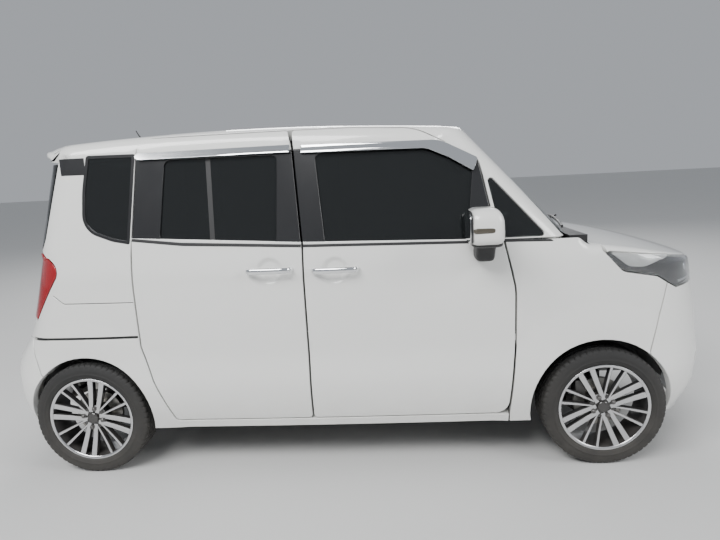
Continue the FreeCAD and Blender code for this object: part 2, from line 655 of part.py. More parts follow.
def rear_suspension():
    """Twist beam with trailing arms, springs, dampers and wheel stubs."""
    x = rear_axle_x
    beam = box(x + 100, x + 180, -470, 470, 230, 290)
    piece = beam
    for side in (-1, 1):
        y0, y1 = sorted((side * 430, side * 490))
        arm = box(x - 60, x + 300, y0, y1, 235, 285)
        pivot = cylinder(28, V(x + 300, side * 420, 260), V(x + 300, side * 494, 260))
        hanger = box(x + 300, -991, *sorted((side * 440, side * 480)), 240, 300)
        plate = box(x - 50, x + 50, *sorted((side * 470, side * 500)), 230, 350)
        stub = cylinder(36, V(x, side * 490, axle_height), V(x, side * (stub_end_y - seat_gap), axle_height))
        spring_low = cylinder(56, V(x + 20, side * 420, 285), V(x + 20, side * 420, 300))
        damper = cylinder(24, V(x - 70, side * 440, 250), V(x - 70, side * 440, 450))
        rod = cylinder(10, V(x - 70, side * 440, 430), V(x - 70, side * 440, boot_floor))
        piece = piece.fuse(arm).fuse(pivot).fuse(hanger).fuse(plate).fuse(stub).fuse(spring_low).fuse(damper).fuse(rod)
        piece = piece.fuse(cylinder(54, V(x + 20, side * 420, 298), V(x + 20, side * 420, boot_floor)))
    return solids_of(piece, 500)


def exhaust():
    """Pipe from the engine under the floor to a cross silencer behind the rear axle."""
    route = [V(1182, -150, 277.6), V(1178, -150, 182), V(980, -150, 186), V(880, -430, 188), V(-970, -430, 188),
             V(-1060, -330, 188), V(-1290, -300, 188), V(-1440, -300, 300), V(-1540, -200, 330)]
    pipe = Part.makeSphere(22, route[0])
    for a, b in zip(route, route[1:]):
        pipe = pipe.fuse(cylinder(22, a, b)).fuse(Part.makeSphere(22, b))
    front_can = cylinder(34, V(500, -430, 188), V(200, -430, 188))
    can = cylinder(85, V(-1560, -330, 330), V(-1560, 330, 330))
    tail = cylinder(24, V(-1560, -300, 300), V(-1670, -400, 268))
    hanger = box(-1570, -1550, -20, 20, 400, boot_floor)
    return solids_of(pipe.fuse(front_can).fuse(can).fuse(tail).fuse(hanger))


def seat(y, width):
    """A seat with a rounded cushion, back and headrest, facing forwards."""
    side_profile = [(0, 330), (470, 350), (500, 430), (470, 480), (60, 450), (-110, 1010), (-200, 1000), (-90, 400)]
    body = side_prism(side_wire(side_profile, 30), y - width / 2, y + width / 2)
    rest = side_prism(side_wire([(-150, 1060), (-170, 1190), (-230, 1180), (-215, 1050)], 25), y - 130, y + 130)
    posts = cylinder(7, V(-160, y - 60, 980), V(-185, y - 60, 1080)).fuse(cylinder(7, V(-160, y + 60, 980), V(-185, y + 60, 1080)))
    base = box(40, 400, y - width / 2 + 40, y + width / 2 - 40, floor_top, 350)
    return body.fuse(rest).fuse(posts).fuse(base)


def seats_front():
    """Two front seats."""
    pieces = []
    for y in (-350, 350):
        piece = seat(y, 500)
        piece.translate(V(60, 0, 0))
        pieces.append(piece)
    return Part.makeCompound(pieces)


def seat_rear():
    """A rear bench with two headrests."""
    side_profile = [(-440, 360), (-420, 450), (-470, 500), (-820, 470), (-940, 1000), (-1010, 990), (-940, 380)]
    bench = side_prism(side_wire(side_profile, 30), -600, 600)
    base = box(-860, -500, -520, 520, floor_top, 380)
    bench = bench.fuse(base)
    for y in (-330, 330):
        rest = side_prism(side_wire([(-955, 1050), (-975, 1170), (-1035, 1160), (-1020, 1040)], 25), y - 125, y + 125)
        post = cylinder(8, V(-965, y - 50, 960), V(-990, y - 50, 1070)).fuse(cylinder(8, V(-965, y + 50, 960), V(-990, y + 50, 1070)))
        bench = bench.fuse(rest).fuse(post)
    return bench


def dashboard():
    """Instrument panel from side to side under the windscreen."""
    profile = [(firewall_x, 640), (860, 620), (760, 700), (740, 880), (790, 985), (880, 1030), (firewall_x, 1060)]
    panel = side_prism(side_wire(profile, [0, 60, 60, 60, 50, 60, 0]), -690, 690)
    return solids_of(panel.common(lower_body(wall + 12)))


def steering_wheel():
    """Steering wheel on its column, driver on the right."""
    hub = V(640, -350, 900)
    ring = [V(178 + 15 * math.cos(math.radians(a)), 0, 15 * math.sin(math.radians(a))) for a in range(0, 360, 60)]
    wheel = Part.Face(Part.makePolygon(ring + ring[:1])).revolve(ORIGIN, Z_AXIS, 360)
    wheel = wheel.fuse(cylinder(56, V(0, 0, -22), V(0, 0, 8)))
    for angle in (0, 180, 270):
        spoke = box(40, 172, -17, 17, -14, -2)
        spoke.rotate(ORIGIN, Z_AXIS, angle)
        wheel = wheel.fuse(spoke)
    wheel = wheel.fuse(cylinder(32, V(0, 0, -200), V(0, 0, -14)))
    wheel.rotate(ORIGIN, Z_AXIS, -90)
    wheel.rotate(ORIGIN, Y_AXIS, -62)
    wheel.translate(hub)
    return wheel


def collect():
    """Every named piece of the car."""
    nodes = {}
    door_front = door_right(right_shell, front_door_outline, front_window)
    door_front = door_front.fuse(handle_right(handle_starts[0], handle_heights[0]))
    door_rear = door_right(right_shell, rear_door_outline, rear_window)
    door_rear = door_rear.fuse(handle_right(handle_starts[1], handle_heights[1]))
    glass_front = solids_of(pane.common(side_cut(front_window, -950, -500)))
    glass_rear = solids_of(pane.common(side_cut(rear_window, -950, -500)))
    side = body_side()
    wing = fender()
    mirror = mirror_right()
    hub_knuckle = knuckle()
    for name, right in (("door_front", door_front), ("door_rear", door_rear), ("door_glass_front", glass_front),
                        ("door_glass_rear", glass_rear), ("fender", wing), ("mirror", mirror), ("knuckle", hub_knuckle)):
        nodes[name + "_right"] = right
        nodes[name + "_left"] = mirrored(right)
    nodes["body_side_right"] = side
    nodes["body_side_left"] = mirrored(side)
    nodes["centre_pillar"] = centre_pillar()
    nodes["fixed_side_glass"] = both(solids_of(pane.common(triangle.fuse(quarter))))
    nodes["roof_panel"] = solids_of(thick.common(roof_zone).cut(screen_zone).cut(gate_gap))

    lamps = head_zone.fuse(mirrored(head_zone))
    lamp_gaps = head_gap.fuse(mirrored(head_gap))
    tails = tail_zone.fuse(mirrored(tail_zone))
    tail_gaps = tail_gap.fuse(mirrored(tail_gap))
    intake = front_cut(((-470, 330, 40), (470, 330, 40), (430, 520, 40), (-430, 520, 40)), 1600, 1900)
    slot = front_cut(((-390, 842, 12), (390, 842, 12), (390, 880, 12), (-390, 880, 12)), 1600, 1900)
    bumper = thin.common(front_zone).cut(lamps).cut(bonnet_gap)
    nodes["front_bumper"] = solids_of(bumper.cut(intake).cut(slot))
    recessed = lower_body(14)
    nodes["grille"] = solids_of(thin.common(intake.fuse(slot)).common(recessed))
    nodes["bonnet"] = solids_of(thin.common(bonnet_zone).cut(lamp_gaps))
    nodes["headlamps"] = solids_of(thin.common(lamps))
    nodes["tail_lamps"] = solids_of(thin.common(tails))
    nodes["rear_bumper"] = solids_of(thin.common(rear_zone).cut(gate_gap).cut(tails))
    nodes["windscreen"] = solids_of(layer(3, 9).common(screen_zone))
    gate_glass_zone = side_cut(tail_glass_side, -900, 900)
    nodes["tailgate_glass"] = solids_of(layer(3, 8).common(gate_glass_zone))
    gate = thick.common(gate_zone).cut(tail_gaps)
    gate = gate.cut(gate_glass_zone.common(glasshouse(0).cut(glasshouse(8))))
    gate = gate.cut(front_cut(((-560, 1206, 50), (560, 1206, 50), (520, 1530, 50), (-520, 1530, 50)), -1900, -1300))
    spoiler = side_cut(spoiler_side, -600, 600).common(plan_cut(spoiler_plan, 1500, 1800))
    spoiler = spoiler.cut(glasshouse(30))
    nodes["tailgate"] = solids_of(gate.fuse(spoiler))
    cowl = lower_body(0).common(cowl_zone).cut(box(1000, 1090, -900, 900, 0, 1086))
    for y in (-560, 520):
        cowl = cowl.fuse(box(1120, 1134 - seat_gap, y, y + 40, 1061, 1067))
    nodes["cowl_cover"] = solids_of(cowl)
    nodes["floor_pan"] = floor_pan()
    nodes["front_suspension"] = front_suspension()
    nodes["rear_suspension"] = rear_suspension()
    nodes["engine_block"] = box(1150, 1560, -320, 320, 300, 800)
    nodes["exhaust"] = exhaust()
    nodes["fuel_tank"] = plan_cut(((-960, -370, 40), (-420, -370, 40), (-420, 370, 40), (-960, 370, 40)), 148, floor_low)
    nodes["seats_front"] = seats_front()
    nodes["seat_rear"] = seat_rear()
    nodes["steering_wheel"] = steering_wheel()
    nodes["dashboard"] = solids_of(dashboard().cut(nodes["steering_wheel"]))
    wheel_rim = rim()
    wheel_tyre = tyre()
    for end, axle_x in (("front", front_axle_x), ("rear", rear_axle_x)):
        for side in ("right", "left"):
            for kind, shape in (("rim", wheel_rim), ("tyre", wheel_tyre)):
                piece = shape.copy()
                if end == "rear":
                    piece.rotate(ORIGIN, Y_AXIS, rear_rim_turn)
                piece.translate(V(axle_x, -wheel_plane_y, axle_height))
                nodes[f"{kind}_{end}_{side}"] = mirrored(piece) if side == "left" else piece
    return nodes


os.makedirs("parts", exist_ok=True)
for name, shape in collect().items():
    print(name, shape.isValid(), len(shape.Solids), round(shape.Volume / 1e6, 2))
    shape.exportStep(f"parts/{name}.step")
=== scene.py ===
# %% [markdown]
# # A small white family car, dressed in Blender
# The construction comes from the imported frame: every solid, joint and body is there already.
# This script gives the looks. The painted skin is worked out with numpy as smooth
# surfaces, cut where the real panels meet, and each piece rides on the body it belongs to.

# %% Load the frame
import json
import math

import bpy
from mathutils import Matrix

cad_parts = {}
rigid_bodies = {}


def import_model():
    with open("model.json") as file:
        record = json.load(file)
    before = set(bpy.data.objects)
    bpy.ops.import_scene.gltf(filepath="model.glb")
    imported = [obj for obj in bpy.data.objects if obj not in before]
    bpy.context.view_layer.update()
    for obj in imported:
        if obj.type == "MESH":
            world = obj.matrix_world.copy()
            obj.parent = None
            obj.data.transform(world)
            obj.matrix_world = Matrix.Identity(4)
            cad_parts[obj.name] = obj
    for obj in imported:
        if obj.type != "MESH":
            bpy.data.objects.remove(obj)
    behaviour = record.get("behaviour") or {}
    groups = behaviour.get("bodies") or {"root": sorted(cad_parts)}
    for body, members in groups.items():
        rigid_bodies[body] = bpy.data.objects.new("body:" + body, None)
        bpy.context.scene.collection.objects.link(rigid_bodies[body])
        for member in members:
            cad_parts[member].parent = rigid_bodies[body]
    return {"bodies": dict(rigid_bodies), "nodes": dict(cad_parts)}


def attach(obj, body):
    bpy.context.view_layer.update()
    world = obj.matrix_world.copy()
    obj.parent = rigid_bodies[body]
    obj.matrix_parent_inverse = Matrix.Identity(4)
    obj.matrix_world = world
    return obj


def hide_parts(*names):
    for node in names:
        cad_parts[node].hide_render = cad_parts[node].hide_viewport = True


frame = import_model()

kept = set(frame["nodes"].values()) | set(frame["bodies"].values())
for thing in [o for o in bpy.data.objects if o not in kept]:
    bpy.data.objects.remove(thing)
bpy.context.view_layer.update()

import numpy as np
from mathutils import Matrix, Vector
from mathutils.geometry import delaunay_2d_cdt

# %% [markdown]
# ## The measures of the body
# A car body is a few simple curves: bowed sides, a bowed nose and tail, and a roof that is
# arched both ways. A plan section is five tangent arcs. It changes with height, so its half
# width, its rear end and its front end are smooth curves through a few measured heights.

# %% Body measures in metres
AXLE_FRONT, AXLE_REAR, AXLE_HEIGHT = 1.1925, -1.3275, 0.288
WHEEL_PLANE = 0.69
BELT = 1.11
HEIGHTS = np.array([0.222, 0.33, 0.43, 0.6, 0.705, 0.86, 1.02, BELT])
HALF_WIDTHS = np.array([0.752, 0.778, 0.788, 0.778, 0.782, 0.787, 0.783, 0.766])
REAR_ENDS = np.array([-1.752, -1.786, -1.797, -1.784, -1.712, -1.652, -1.607, -1.59])
FRONT_ENDS = np.array([1.722, 1.776, 1.797, 1.787, 1.773, 1.748, 1.725, 1.715])
SIDE_BOW, SIDE_BOW_X = 40.0, -0.05
REAR_BOW, NOSE_BOW = 5.0, 2.2
REAR_CORNER, NOSE_CORNER = 0.19, 0.38
SIDE_LEAN, REAR_LEAN, SCREEN_LEAN = 0.192, 0.194, 0.953
SCREEN_FOOT, SCREEN_BOW, PILLAR_CORNER, TAIL_CORNER = 1.121, 2.6, 0.12, 0.15
ROOF_HEIGHT, ROOF_PEAK, ROOF_LONG, ROOF_CROSS = 1.7, -0.5, 13.0, 7.5
ROOF_EDGE, BONNET_EDGE, BONNET_FRONT_Z = 0.08, 0.045, 0.9245
BONNET_CROSS = 9.0
BONNET_LINE = np.array([[1.13, 1.096], [1.4, 1.056], [1.7, 0.972]])
FRONT_ARCH_X, FRONT_ARCH, REAR_ARCH = AXLE_FRONT - 0.01, 0.335, 0.32
FLARE_HEIGHT, FLARE_REACH, FLARE_INNER, FLARE_FADE = 0.012, 0.175, 0.45, 0.25
print("wheelbase", round(AXLE_FRONT - AXLE_REAR, 3), "length", round(FRONT_ENDS.max() - REAR_ENDS.min(), 3))

# %% [markdown]
# A smooth line runs through the measures. The bonnet's middle line is a circle through three
# points, and the roof is one arch across the car and one along it.

# %% Curves through the measures
def smooth_curve(at, knots, values):
    """A smooth line through measured values: cubic pieces whose slopes are averaged at each knot."""
    gaps = np.diff(knots)
    rises = np.diff(values) / gaps
    slopes = np.empty_like(values)
    slopes[1:-1] = (rises[:-1] * gaps[1:] + rises[1:] * gaps[:-1]) / (gaps[:-1] + gaps[1:])
    slopes[0], slopes[-1] = rises[0], rises[-1]
    at = np.asarray(at, float)
    i = np.clip(np.searchsorted(knots, at) - 1, 0, len(gaps) - 1)
    t = np.clip((at - knots[i]) / gaps[i], 0.0, 1.0)
    h = gaps[i]
    inside = ((2 * t**3 - 3 * t**2 + 1) * values[i] + (t**3 - 2 * t**2 + t) * h * slopes[i]
              + (3 * t**2 - 2 * t**3) * values[i + 1] + (t**3 - t**2) * h * slopes[i + 1])
    below = np.minimum(at - knots[0], 0.0) * slopes[0]
    above = np.maximum(at - knots[-1], 0.0) * slopes[-1]
    return inside + below + above


def bowl_radius(line):
    """Centre and radius of the circle through three points of the bonnet's middle line."""
    (ax, az), (bx, bz), (cx, cz) = line
    d = 2 * (ax * (bz - cz) + bx * (cz - az) + cx * (az - bz))
    sa, sb, sc = ax * ax + az * az, bx * bx + bz * bz, cx * cx + cz * cz
    x = (sa * (bz - cz) + sb * (cz - az) + sc * (az - bz)) / d
    z = (sa * (cx - bx) + sb * (ax - cx) + sc * (bx - ax)) / d
    return x, z, math.hypot(ax - x, az - z)


BONNET_X, BONNET_Z, BONNET_LONG = bowl_radius(BONNET_LINE)


def roof_top(x, y):
    """Height of the roof: an arch across, lowered along the car by a second arch."""
    return ROOF_HEIGHT - (x - ROOF_PEAK) ** 2 / (2 * ROOF_LONG) - y**2 / (2 * ROOF_CROSS)


def bonnet_top(x, y):
    """Height of the bonnet: a circle along the car, lowered across it by a flat arch."""
    run = np.clip(x - BONNET_X, -0.95 * BONNET_LONG, 0.95 * BONNET_LONG)
    return BONNET_Z + np.sqrt(BONNET_LONG**2 - run**2) - y**2 / (2 * BONNET_CROSS)


print("roof at", round(float(roof_top(0.0, 0.0)), 3), "bonnet at", round(float(bonnet_top(1.4, 0.0)), 3))

# %% [markdown]
# ## The wall as a function of two parameters
# The wall round the car is unrolled like a paper band. The first parameter runs forward along
# the side and on round the corner to the middle of the nose or the tail. The second is the
# height. Above the wall the same parameter rolls over a rounded edge and on to the top. The
# swellings over the wheels are added to it, and they end in a soft crease.

# %% Arches and corner arcs
def flare_out(x, z):
    """Swelling round the wheel arches: height * (1 - (r / reach)^2), r measured from the arch."""
    out = np.zeros(np.shape(x))
    for centre, arch in ((FRONT_ARCH_X, FRONT_ARCH), (AXLE_REAR, REAR_ARCH)):
        r = np.hypot(x - centre, z - AXLE_HEIGHT) - arch
        out = np.maximum(out, FLARE_HEIGHT * (1 - np.clip(r / FLARE_REACH, 0, 1) ** 2))
    return out


def corner_circle(half, end, end_bow, radius, sign):
    """Centre of the corner arc that touches the side arc and the end arc from inside."""
    side_y = half - SIDE_BOW
    end_x = end - sign * end_bow
    a, b = SIDE_BOW - radius, end_bow - radius
    dx, dy = end_x - SIDE_BOW_X, -side_y
    d = np.hypot(dx, dy)
    along = (a * a - b * b + d * d) / (2 * d)
    across = np.sqrt(np.maximum(a * a - along * along, 0.0))
    mx = SIDE_BOW_X + dx * along / d
    my = side_y + dy * along / d
    first = (mx - dy * across / d, my + dx * across / d)
    second = (mx + dy * across / d, my - dx * across / d)
    pick = (first[1] + sign * first[0]) > (second[1] + sign * second[0])
    return np.where(pick, first[0], second[0]), np.where(pick, first[1], second[1])


def section(z, house):
    """Half width, rear end, front end and the four radii of the plan section at a height."""
    rise = z - BELT
    if house:
        half = HALF_WIDTHS[-1] - SIDE_LEAN * rise
        rear = REAR_ENDS[-1] + REAR_LEAN * rise
        front = SCREEN_FOOT - SCREEN_LEAN * rise
        return half, rear, front, REAR_BOW, SCREEN_BOW, TAIL_CORNER, PILLAR_CORNER
    half = smooth_curve(z, HEIGHTS, HALF_WIDTHS)
    rear = smooth_curve(z, HEIGHTS, REAR_ENDS)
    front = smooth_curve(z, HEIGHTS, FRONT_ENDS)
    return half, rear, front, REAR_BOW, NOSE_BOW, REAR_CORNER, NOSE_CORNER


print("plan section at the sill", [round(float(q), 3) for q in section(HEIGHTS[1], False)])

# %% [markdown]
# The band follows the arcs in turn and comes back as its own mirror past the middle of the car.

# %% The wall as a band
def plan_arcs(z, house, end_sign):
    """The arcs at one end of the plan section: where each begins, its radius and its angle or length."""
    half, rear, front, rear_bow, front_bow, rear_r, front_r = section(z, house)
    end, end_bow, r = (front, front_bow, front_r) if end_sign > 0 else (rear, rear_bow, rear_r)
    mx, my = corner_circle(half, end, end_bow, r, end_sign)
    side_y = half - SIDE_BOW
    away = np.hypot(mx - SIDE_BOW_X, my - side_y)
    touch_x = SIDE_BOW_X + (mx - SIDE_BOW_X) * SIDE_BOW / away
    touch_y = side_y + (my - side_y) * SIDE_BOW / away
    end_x = end - end_sign * end_bow
    away = np.hypot(mx - end_x, my)
    last_x = end_x + (mx - end_x) * end_bow / away
    last_y = my * end_bow / away
    start = np.arctan2(touch_y - my, (touch_x - mx) * end_sign)
    stop = np.arctan2(last_y - my, (last_x - mx) * end_sign)
    middle_angle = np.arctan2(last_y, (last_x - end_x) * end_sign)
    return side_y, touch_x, (mx, my, r, start, r * (start - stop)), (end_x, end_bow, middle_angle)


def band(u, z, house, end_sign):
    """The wall's plan curve: along the side at x = u, then round the corner, then over the middle."""
    side_y, touch_x, corner, end = plan_arcs(z, house, end_sign)
    (mx, my, r, start, corner_run), (end_x, end_bow, middle_angle) = corner, end
    run = (u - touch_x) * end_sign
    total = corner_run + end_bow * middle_angle
    mirror = run > total
    run = np.where(mirror, 2 * total - run, run)
    flat_x = np.where(run <= 0, touch_x + end_sign * run, touch_x)
    side = side_y + np.sqrt(SIDE_BOW**2 - (flat_x - SIDE_BOW_X) ** 2)
    angle = start - np.clip(run, 0, corner_run) / r
    corner_x, corner_y = mx + end_sign * r * np.cos(angle), my + r * np.sin(angle)
    rest = np.clip(run - corner_run, 0, None)
    angle = middle_angle - rest / end_bow
    middle_x, middle_y = end_x + end_sign * end_bow * np.cos(angle), end_bow * np.sin(angle)
    x = np.where(run <= 0, flat_x, np.where(run <= corner_run, corner_x, middle_x))
    y = np.where(run <= 0, side, np.where(run <= corner_run, corner_y, middle_y))
    return x, np.where(mirror, -y, y)


def wall(u, z, end_sign=1):
    """Points of the right wall from (u, height), with the glasshouse above the belt line."""
    u, z = np.broadcast_arrays(np.asarray(u, float), np.asarray(z, float))
    low_x, low_y = band(u, np.minimum(z, BELT), False, end_sign)
    up_x, up_y = band(u, np.maximum(z, BELT), True, end_sign)
    x = np.where(z > BELT, up_x, low_x)
    y = np.where(z > BELT, up_y, low_y)
    fade = np.clip((np.abs(y) - FLARE_INNER) / FLARE_FADE, 0, 1)
    y = y + np.sign(y) * flare_out(x, z) * fade
    return np.stack([x, -y, z], -1)


print("wall beside the driver", np.round(wall(0.2, 0.8), 3).tolist())

# %% [markdown]
# Where the wall meets the roof or the bonnet, an edge circle touches both. Its place depends on
# both normals. The three skins of the car come from here.

# %% Normals and the rolled edge
EDGE_ROUNDS = 12


def slopes_of(surface, u, v, step=2e-4):
    """Unit normal of a surface from its two tangents, each measured over a small step."""
    du = surface(u + step, v) - surface(u - step, v)
    dv = surface(u, v + step) - surface(u, v - step)
    n = np.cross(du, dv)
    return n / np.maximum(np.linalg.norm(n, axis=-1, keepdims=True), 1e-12)


def rolled(top, edge, end_sign, house):
    """The wall, its rounded upper edge and the start of the top as one surface of (u, v).

    The edge circle lies under both surfaces, so its centre is on the bisector of their normals."""

    def surface(u, v):
        u, v = np.broadcast_arrays(np.asarray(u, float), np.asarray(v, float))
        lowest_z, first_z = (BELT + 0.001, 1.6) if house else (0.7, 1.0)
        z = np.full(u.shape, first_z)
        for _ in range(EDGE_ROUNDS):
            p = wall(u, np.maximum(z, lowest_z), end_sign)
            z = top(p[..., 0], p[..., 1])
        z = np.maximum(z, lowest_z)
        p = wall(u, z, end_sign)
        n1 = slopes_of(lambda a, b: wall(a, b, end_sign), u, z - 0.004)
        s = 1e-3
        gx = (top(p[..., 0] + s, p[..., 1]) - top(p[..., 0] - s, p[..., 1])) / (2 * s)
        gy = (top(p[..., 0], p[..., 1] + s) - top(p[..., 0], p[..., 1] - s)) / (2 * s)
        n2 = np.stack([-gx, -gy, np.ones_like(gx)], -1)
        n2 /= np.linalg.norm(n2, axis=-1, keepdims=True)
        dot = np.clip((n1 * n2).sum(-1), -0.99, 0.995)
        centre = p - edge * (n1 + n2) / (1 + dot)[..., None]
        start = centre + edge * n1
        turn = np.arccos(dot)
        z_start = start[..., 2]
        phi = np.clip((v - z_start) / edge, 0, turn)
        towards = np.sin(turn - phi)[..., None] * n1 + np.sin(phi)[..., None] * n2
        arc = centre + edge * towards / np.sin(turn)[..., None]
        over = np.maximum(v - z_start - edge * turn, 0.0)
        inward = np.stack([n1[..., 0], n1[..., 1]], -1)
        inward /= np.maximum(np.linalg.norm(inward, axis=-1, keepdims=True), 1e-9)
        flat_xy = (centre + edge * n2)[..., :2] - inward * over[..., None]
        flat = np.concatenate([flat_xy, top(flat_xy[..., 0], flat_xy[..., 1])[..., None]], -1)
        low = wall(u, np.minimum(v, z_start), end_sign)
        out = np.where((v <= z_start)[..., None], low, arc)
        return np.where((over > 0)[..., None], flat, out)

    return surface


side_skin = rolled(roof_top, ROOF_EDGE, 1, True)
tail_skin = rolled(roof_top, ROOF_EDGE, -1, True)
nose_skin = rolled(bonnet_top, BONNET_EDGE, 1, False)
for name, skin in (("side", side_skin), ("nose", nose_skin), ("tail", tail_skin)):
    print(name, "skin sample", np.round(skin(np.array([0.0, 1.2]), np.array([0.8, 0.8])), 3).tolist())

# %% [markdown]
# The bonnet is a height over the plan. Its edge circle comes from how far a point is inside the
# wall.

# %% The bonnet over the plan
def inside_wall(x, y, z):
    """How far a point is inside the low wall, in plan: radius - distance, for the arc it faces."""
    front = smooth_curve(z, HEIGHTS, FRONT_ENDS)
    half = smooth_curve(z, HEIGHTS, HALF_WIDTHS)
    mx, my = corner_circle(half, front, NOSE_BOW, NOSE_CORNER, 1)
    side_y, end_x, y = half - SIDE_BOW, front - NOSE_BOW, np.abs(y)
    over_side = SIDE_BOW - np.hypot(x - SIDE_BOW_X, y - side_y)
    over_nose = NOSE_BOW - np.hypot(x - end_x, y)
    over_corner = NOSE_CORNER - np.hypot(x - mx, y - my)
    past_side = (x - SIDE_BOW_X) * (my - side_y) > (mx - SIDE_BOW_X) * (y - side_y)
    past_nose = y * (mx - end_x) < my * (x - end_x)
    return np.where(past_nose, over_nose, np.where(past_side, over_corner, over_side))


def bonnet_skin(x, y):
    """The bonnet over the plan, with the edge circle that touches its top and the wall.

    With slope m of the top and lean w of the wall, a = atan m and b = atan w, the circle of radius e
    turns through t = 90 deg - a - b and its tangents are T = e tan(t / 2) long."""
    x, y = np.broadcast_arrays(np.asarray(x, float), np.asarray(y, float))
    z, s = bonnet_top(x, y), 1e-3
    gap = inside_wall(x, y, z)
    gx = (inside_wall(x + s, y, z) - inside_wall(x - s, y, z)) / (2 * s)
    gy = (inside_wall(x, y + s, z) - inside_wall(x, y - s, z)) / (2 * s)
    along = gx * (bonnet_top(x + s, y) - bonnet_top(x - s, y))
    m = (along + gy * (bonnet_top(x, y + s) - bonnet_top(x, y - s))) / (2 * s)
    w = (inside_wall(x, y, z - s) - inside_wall(x, y, z + s)) / (2 * s)
    a, b = np.arctan(m), np.arctan(w)
    tangent = BONNET_EDGE * np.tan((np.pi / 2 - a - b) / 2)
    d = gap / (1 - w * m)
    across = tangent * np.cos(a) + BONNET_EDGE * np.sin(a) - d
    far = BONNET_EDGE * np.cos(b)
    on_arc = np.sqrt(BONNET_EDGE**2 - np.clip(across, 0, far) ** 2)
    drop = tangent * np.sin(a) - BONNET_EDGE * np.cos(a) - m * d + on_arc
    drop = drop - np.maximum(across - far, 0) / np.maximum(np.tan(b), 0.05)
    return np.stack([x, y, z + np.where(across > BONNET_EDGE * np.sin(a), drop, 0.0)], -1)


print("bonnet's middle line", np.round(bonnet_skin(np.array([1.2, 1.5, 1.7]), 0.0)[:, 2], 3).tolist())

# %% [markdown]
# ## Cutting panels from the skin
# A panel is drawn as its outline, as a stylist draws it, in a side, front, rear or top view.
# Each point is then found on the skin by Newton's method, the inside is filled with triangles, and
# the rim is rolled over by a small radius and carried inwards. That gives shut lines with depth.

# %% Outlines with rounded corners
def rounded(points, radii, step=0.012):
    """A closed or open run of corners with each corner replaced by an arc of its own radius."""
    points = np.asarray(points, float)
    out = []
    count = len(points)
    for i in range(count):
        r = radii[i]
        if r <= 0:
            out.append(points[i][None])
            continue
        a = points[i - 1] - points[i]
        b = points[(i + 1) % count] - points[i]
        la, lb = np.linalg.norm(a), np.linalg.norm(b)
        a, b = a / la, b / lb
        half = math.acos(np.clip(a @ b, -1, 1)) / 2
        if abs(half - math.pi / 2) < 1e-3:
            out.append(points[i][None])
            continue
        reach = min(r / math.tan(half), 0.49 * la, 0.49 * lb)
        r = reach * math.tan(half)
        centre = points[i] + (a + b) / np.linalg.norm(a + b) * r / math.sin(half)
        start, end = points[i] + a * reach, points[i] + b * reach
        a0 = math.atan2(*(start - centre)[::-1])
        a1 = math.atan2(*(end - centre)[::-1])
        turn = (a1 - a0 + math.pi) % (2 * math.pi) - math.pi
        n = max(3, int(abs(turn) * r / step) + 2)
        angles = a0 + turn * np.linspace(0, 1, n)
        out.append(centre + r * np.stack([np.cos(angles), np.sin(angles)], -1))
    return np.concatenate(out)


def filled(points, step=0.012):
    """The same closed outline with its long edges divided and its crowded points thinned."""
    points = points[np.linalg.norm(points - np.roll(points, 1, 0), axis=1) > 0.0015]
    ahead = np.roll(points, -1, 0)
    lengths = np.linalg.norm(ahead - points, axis=1)
    rows = []
    for p, q, length in zip(points, ahead, lengths):
        n = max(1, int(length / step))
        rows.append(p + (q - p) * (np.arange(n) / n)[:, None])
    return np.concatenate(rows)


square = [[0, 0], [1, 0], [1, 1], [0, 1]]
print("a rounded square has", len(filled(rounded(square, [0.1] * 4), 0.1)), "points")

# %% [markdown]
# A coarse grid of skin points gives the first guess. Newton's method then moves (u, v) until the
# view shows the skin exactly at the target.

# %% From a view to points on the skin
VIEWS = {"side": (0, 2), "front": (1, 2), "rear": (1, 2), "top": (0, 1)}
NEWTON_ROUNDS, NEWTON_REACH, LEAST_SLOPE = 10, 0.05, 0.02
REACH = {"side": (-1.85, 1.85, 0.15, 1.75), "front": (0.4, 3.6, 0.15, 1.75),
         "rear": (-3.7, -1.0, 0.15, 1.75), "top": (-1.7, 2.6, 0.95, 2.3)}
GRIDS = {}


def first_guess(surface, view, targets):
    """The nearest of a grid of surface points in that view, for Newton's method to start from."""
    if (surface, view) not in GRIDS:
        u0, u1, v0, v1 = REACH[view]
        uu, vv = np.meshgrid(np.linspace(u0, u1, 120), np.linspace(v0, v1, 90), indexing="ij")
        uu, vv = uu.ravel(), vv.ravel()
        i, j = VIEWS[view]
        p = surface(uu, vv)
        fits = p[:, 1] < 0.05 if view in ("side", "top") else np.full(len(uu), True)
        GRIDS[surface, view] = np.stack([uu, vv, p[:, i], p[:, j]], -1)[fits]
    grid = GRIDS[surface, view]
    best = [np.argmin(((grid[:, 2:] - t) ** 2).sum(1)) for t in targets]
    return grid[best, :2]


def locate(surface, view, targets):
    """(u, v) of the skin point that a view shows at each target, by Newton's method on both at once."""
    if view == "skin":
        return np.array(targets, float)
    i, j = VIEWS[view]
    uv = first_guess(surface, view, targets)
    h = 5e-4
    for _ in range(NEWTON_ROUNDS):
        p = surface(uv[:, 0], uv[:, 1])
        miss = np.stack([p[:, i] - targets[:, 0], p[:, j] - targets[:, 1]], -1)
        pu = (surface(uv[:, 0] + h, uv[:, 1]) - surface(uv[:, 0] - h, uv[:, 1])) / (2 * h)
        pv = (surface(uv[:, 0], uv[:, 1] + h) - surface(uv[:, 0], uv[:, 1] - h)) / (2 * h)
        a, b, c, d = pu[:, i], pv[:, i], pu[:, j], pv[:, j]
        det = a * d - b * c
        det = np.where(np.abs(det) < LEAST_SLOPE, np.where(det < 0, -LEAST_SLOPE, LEAST_SLOPE), det)
        change = [(d * miss[:, 0] - b * miss[:, 1]) / det, (a * miss[:, 1] - c * miss[:, 0]) / det]
        uv -= np.clip(np.stack(change, -1), -NEWTON_REACH, NEWTON_REACH)
    return uv


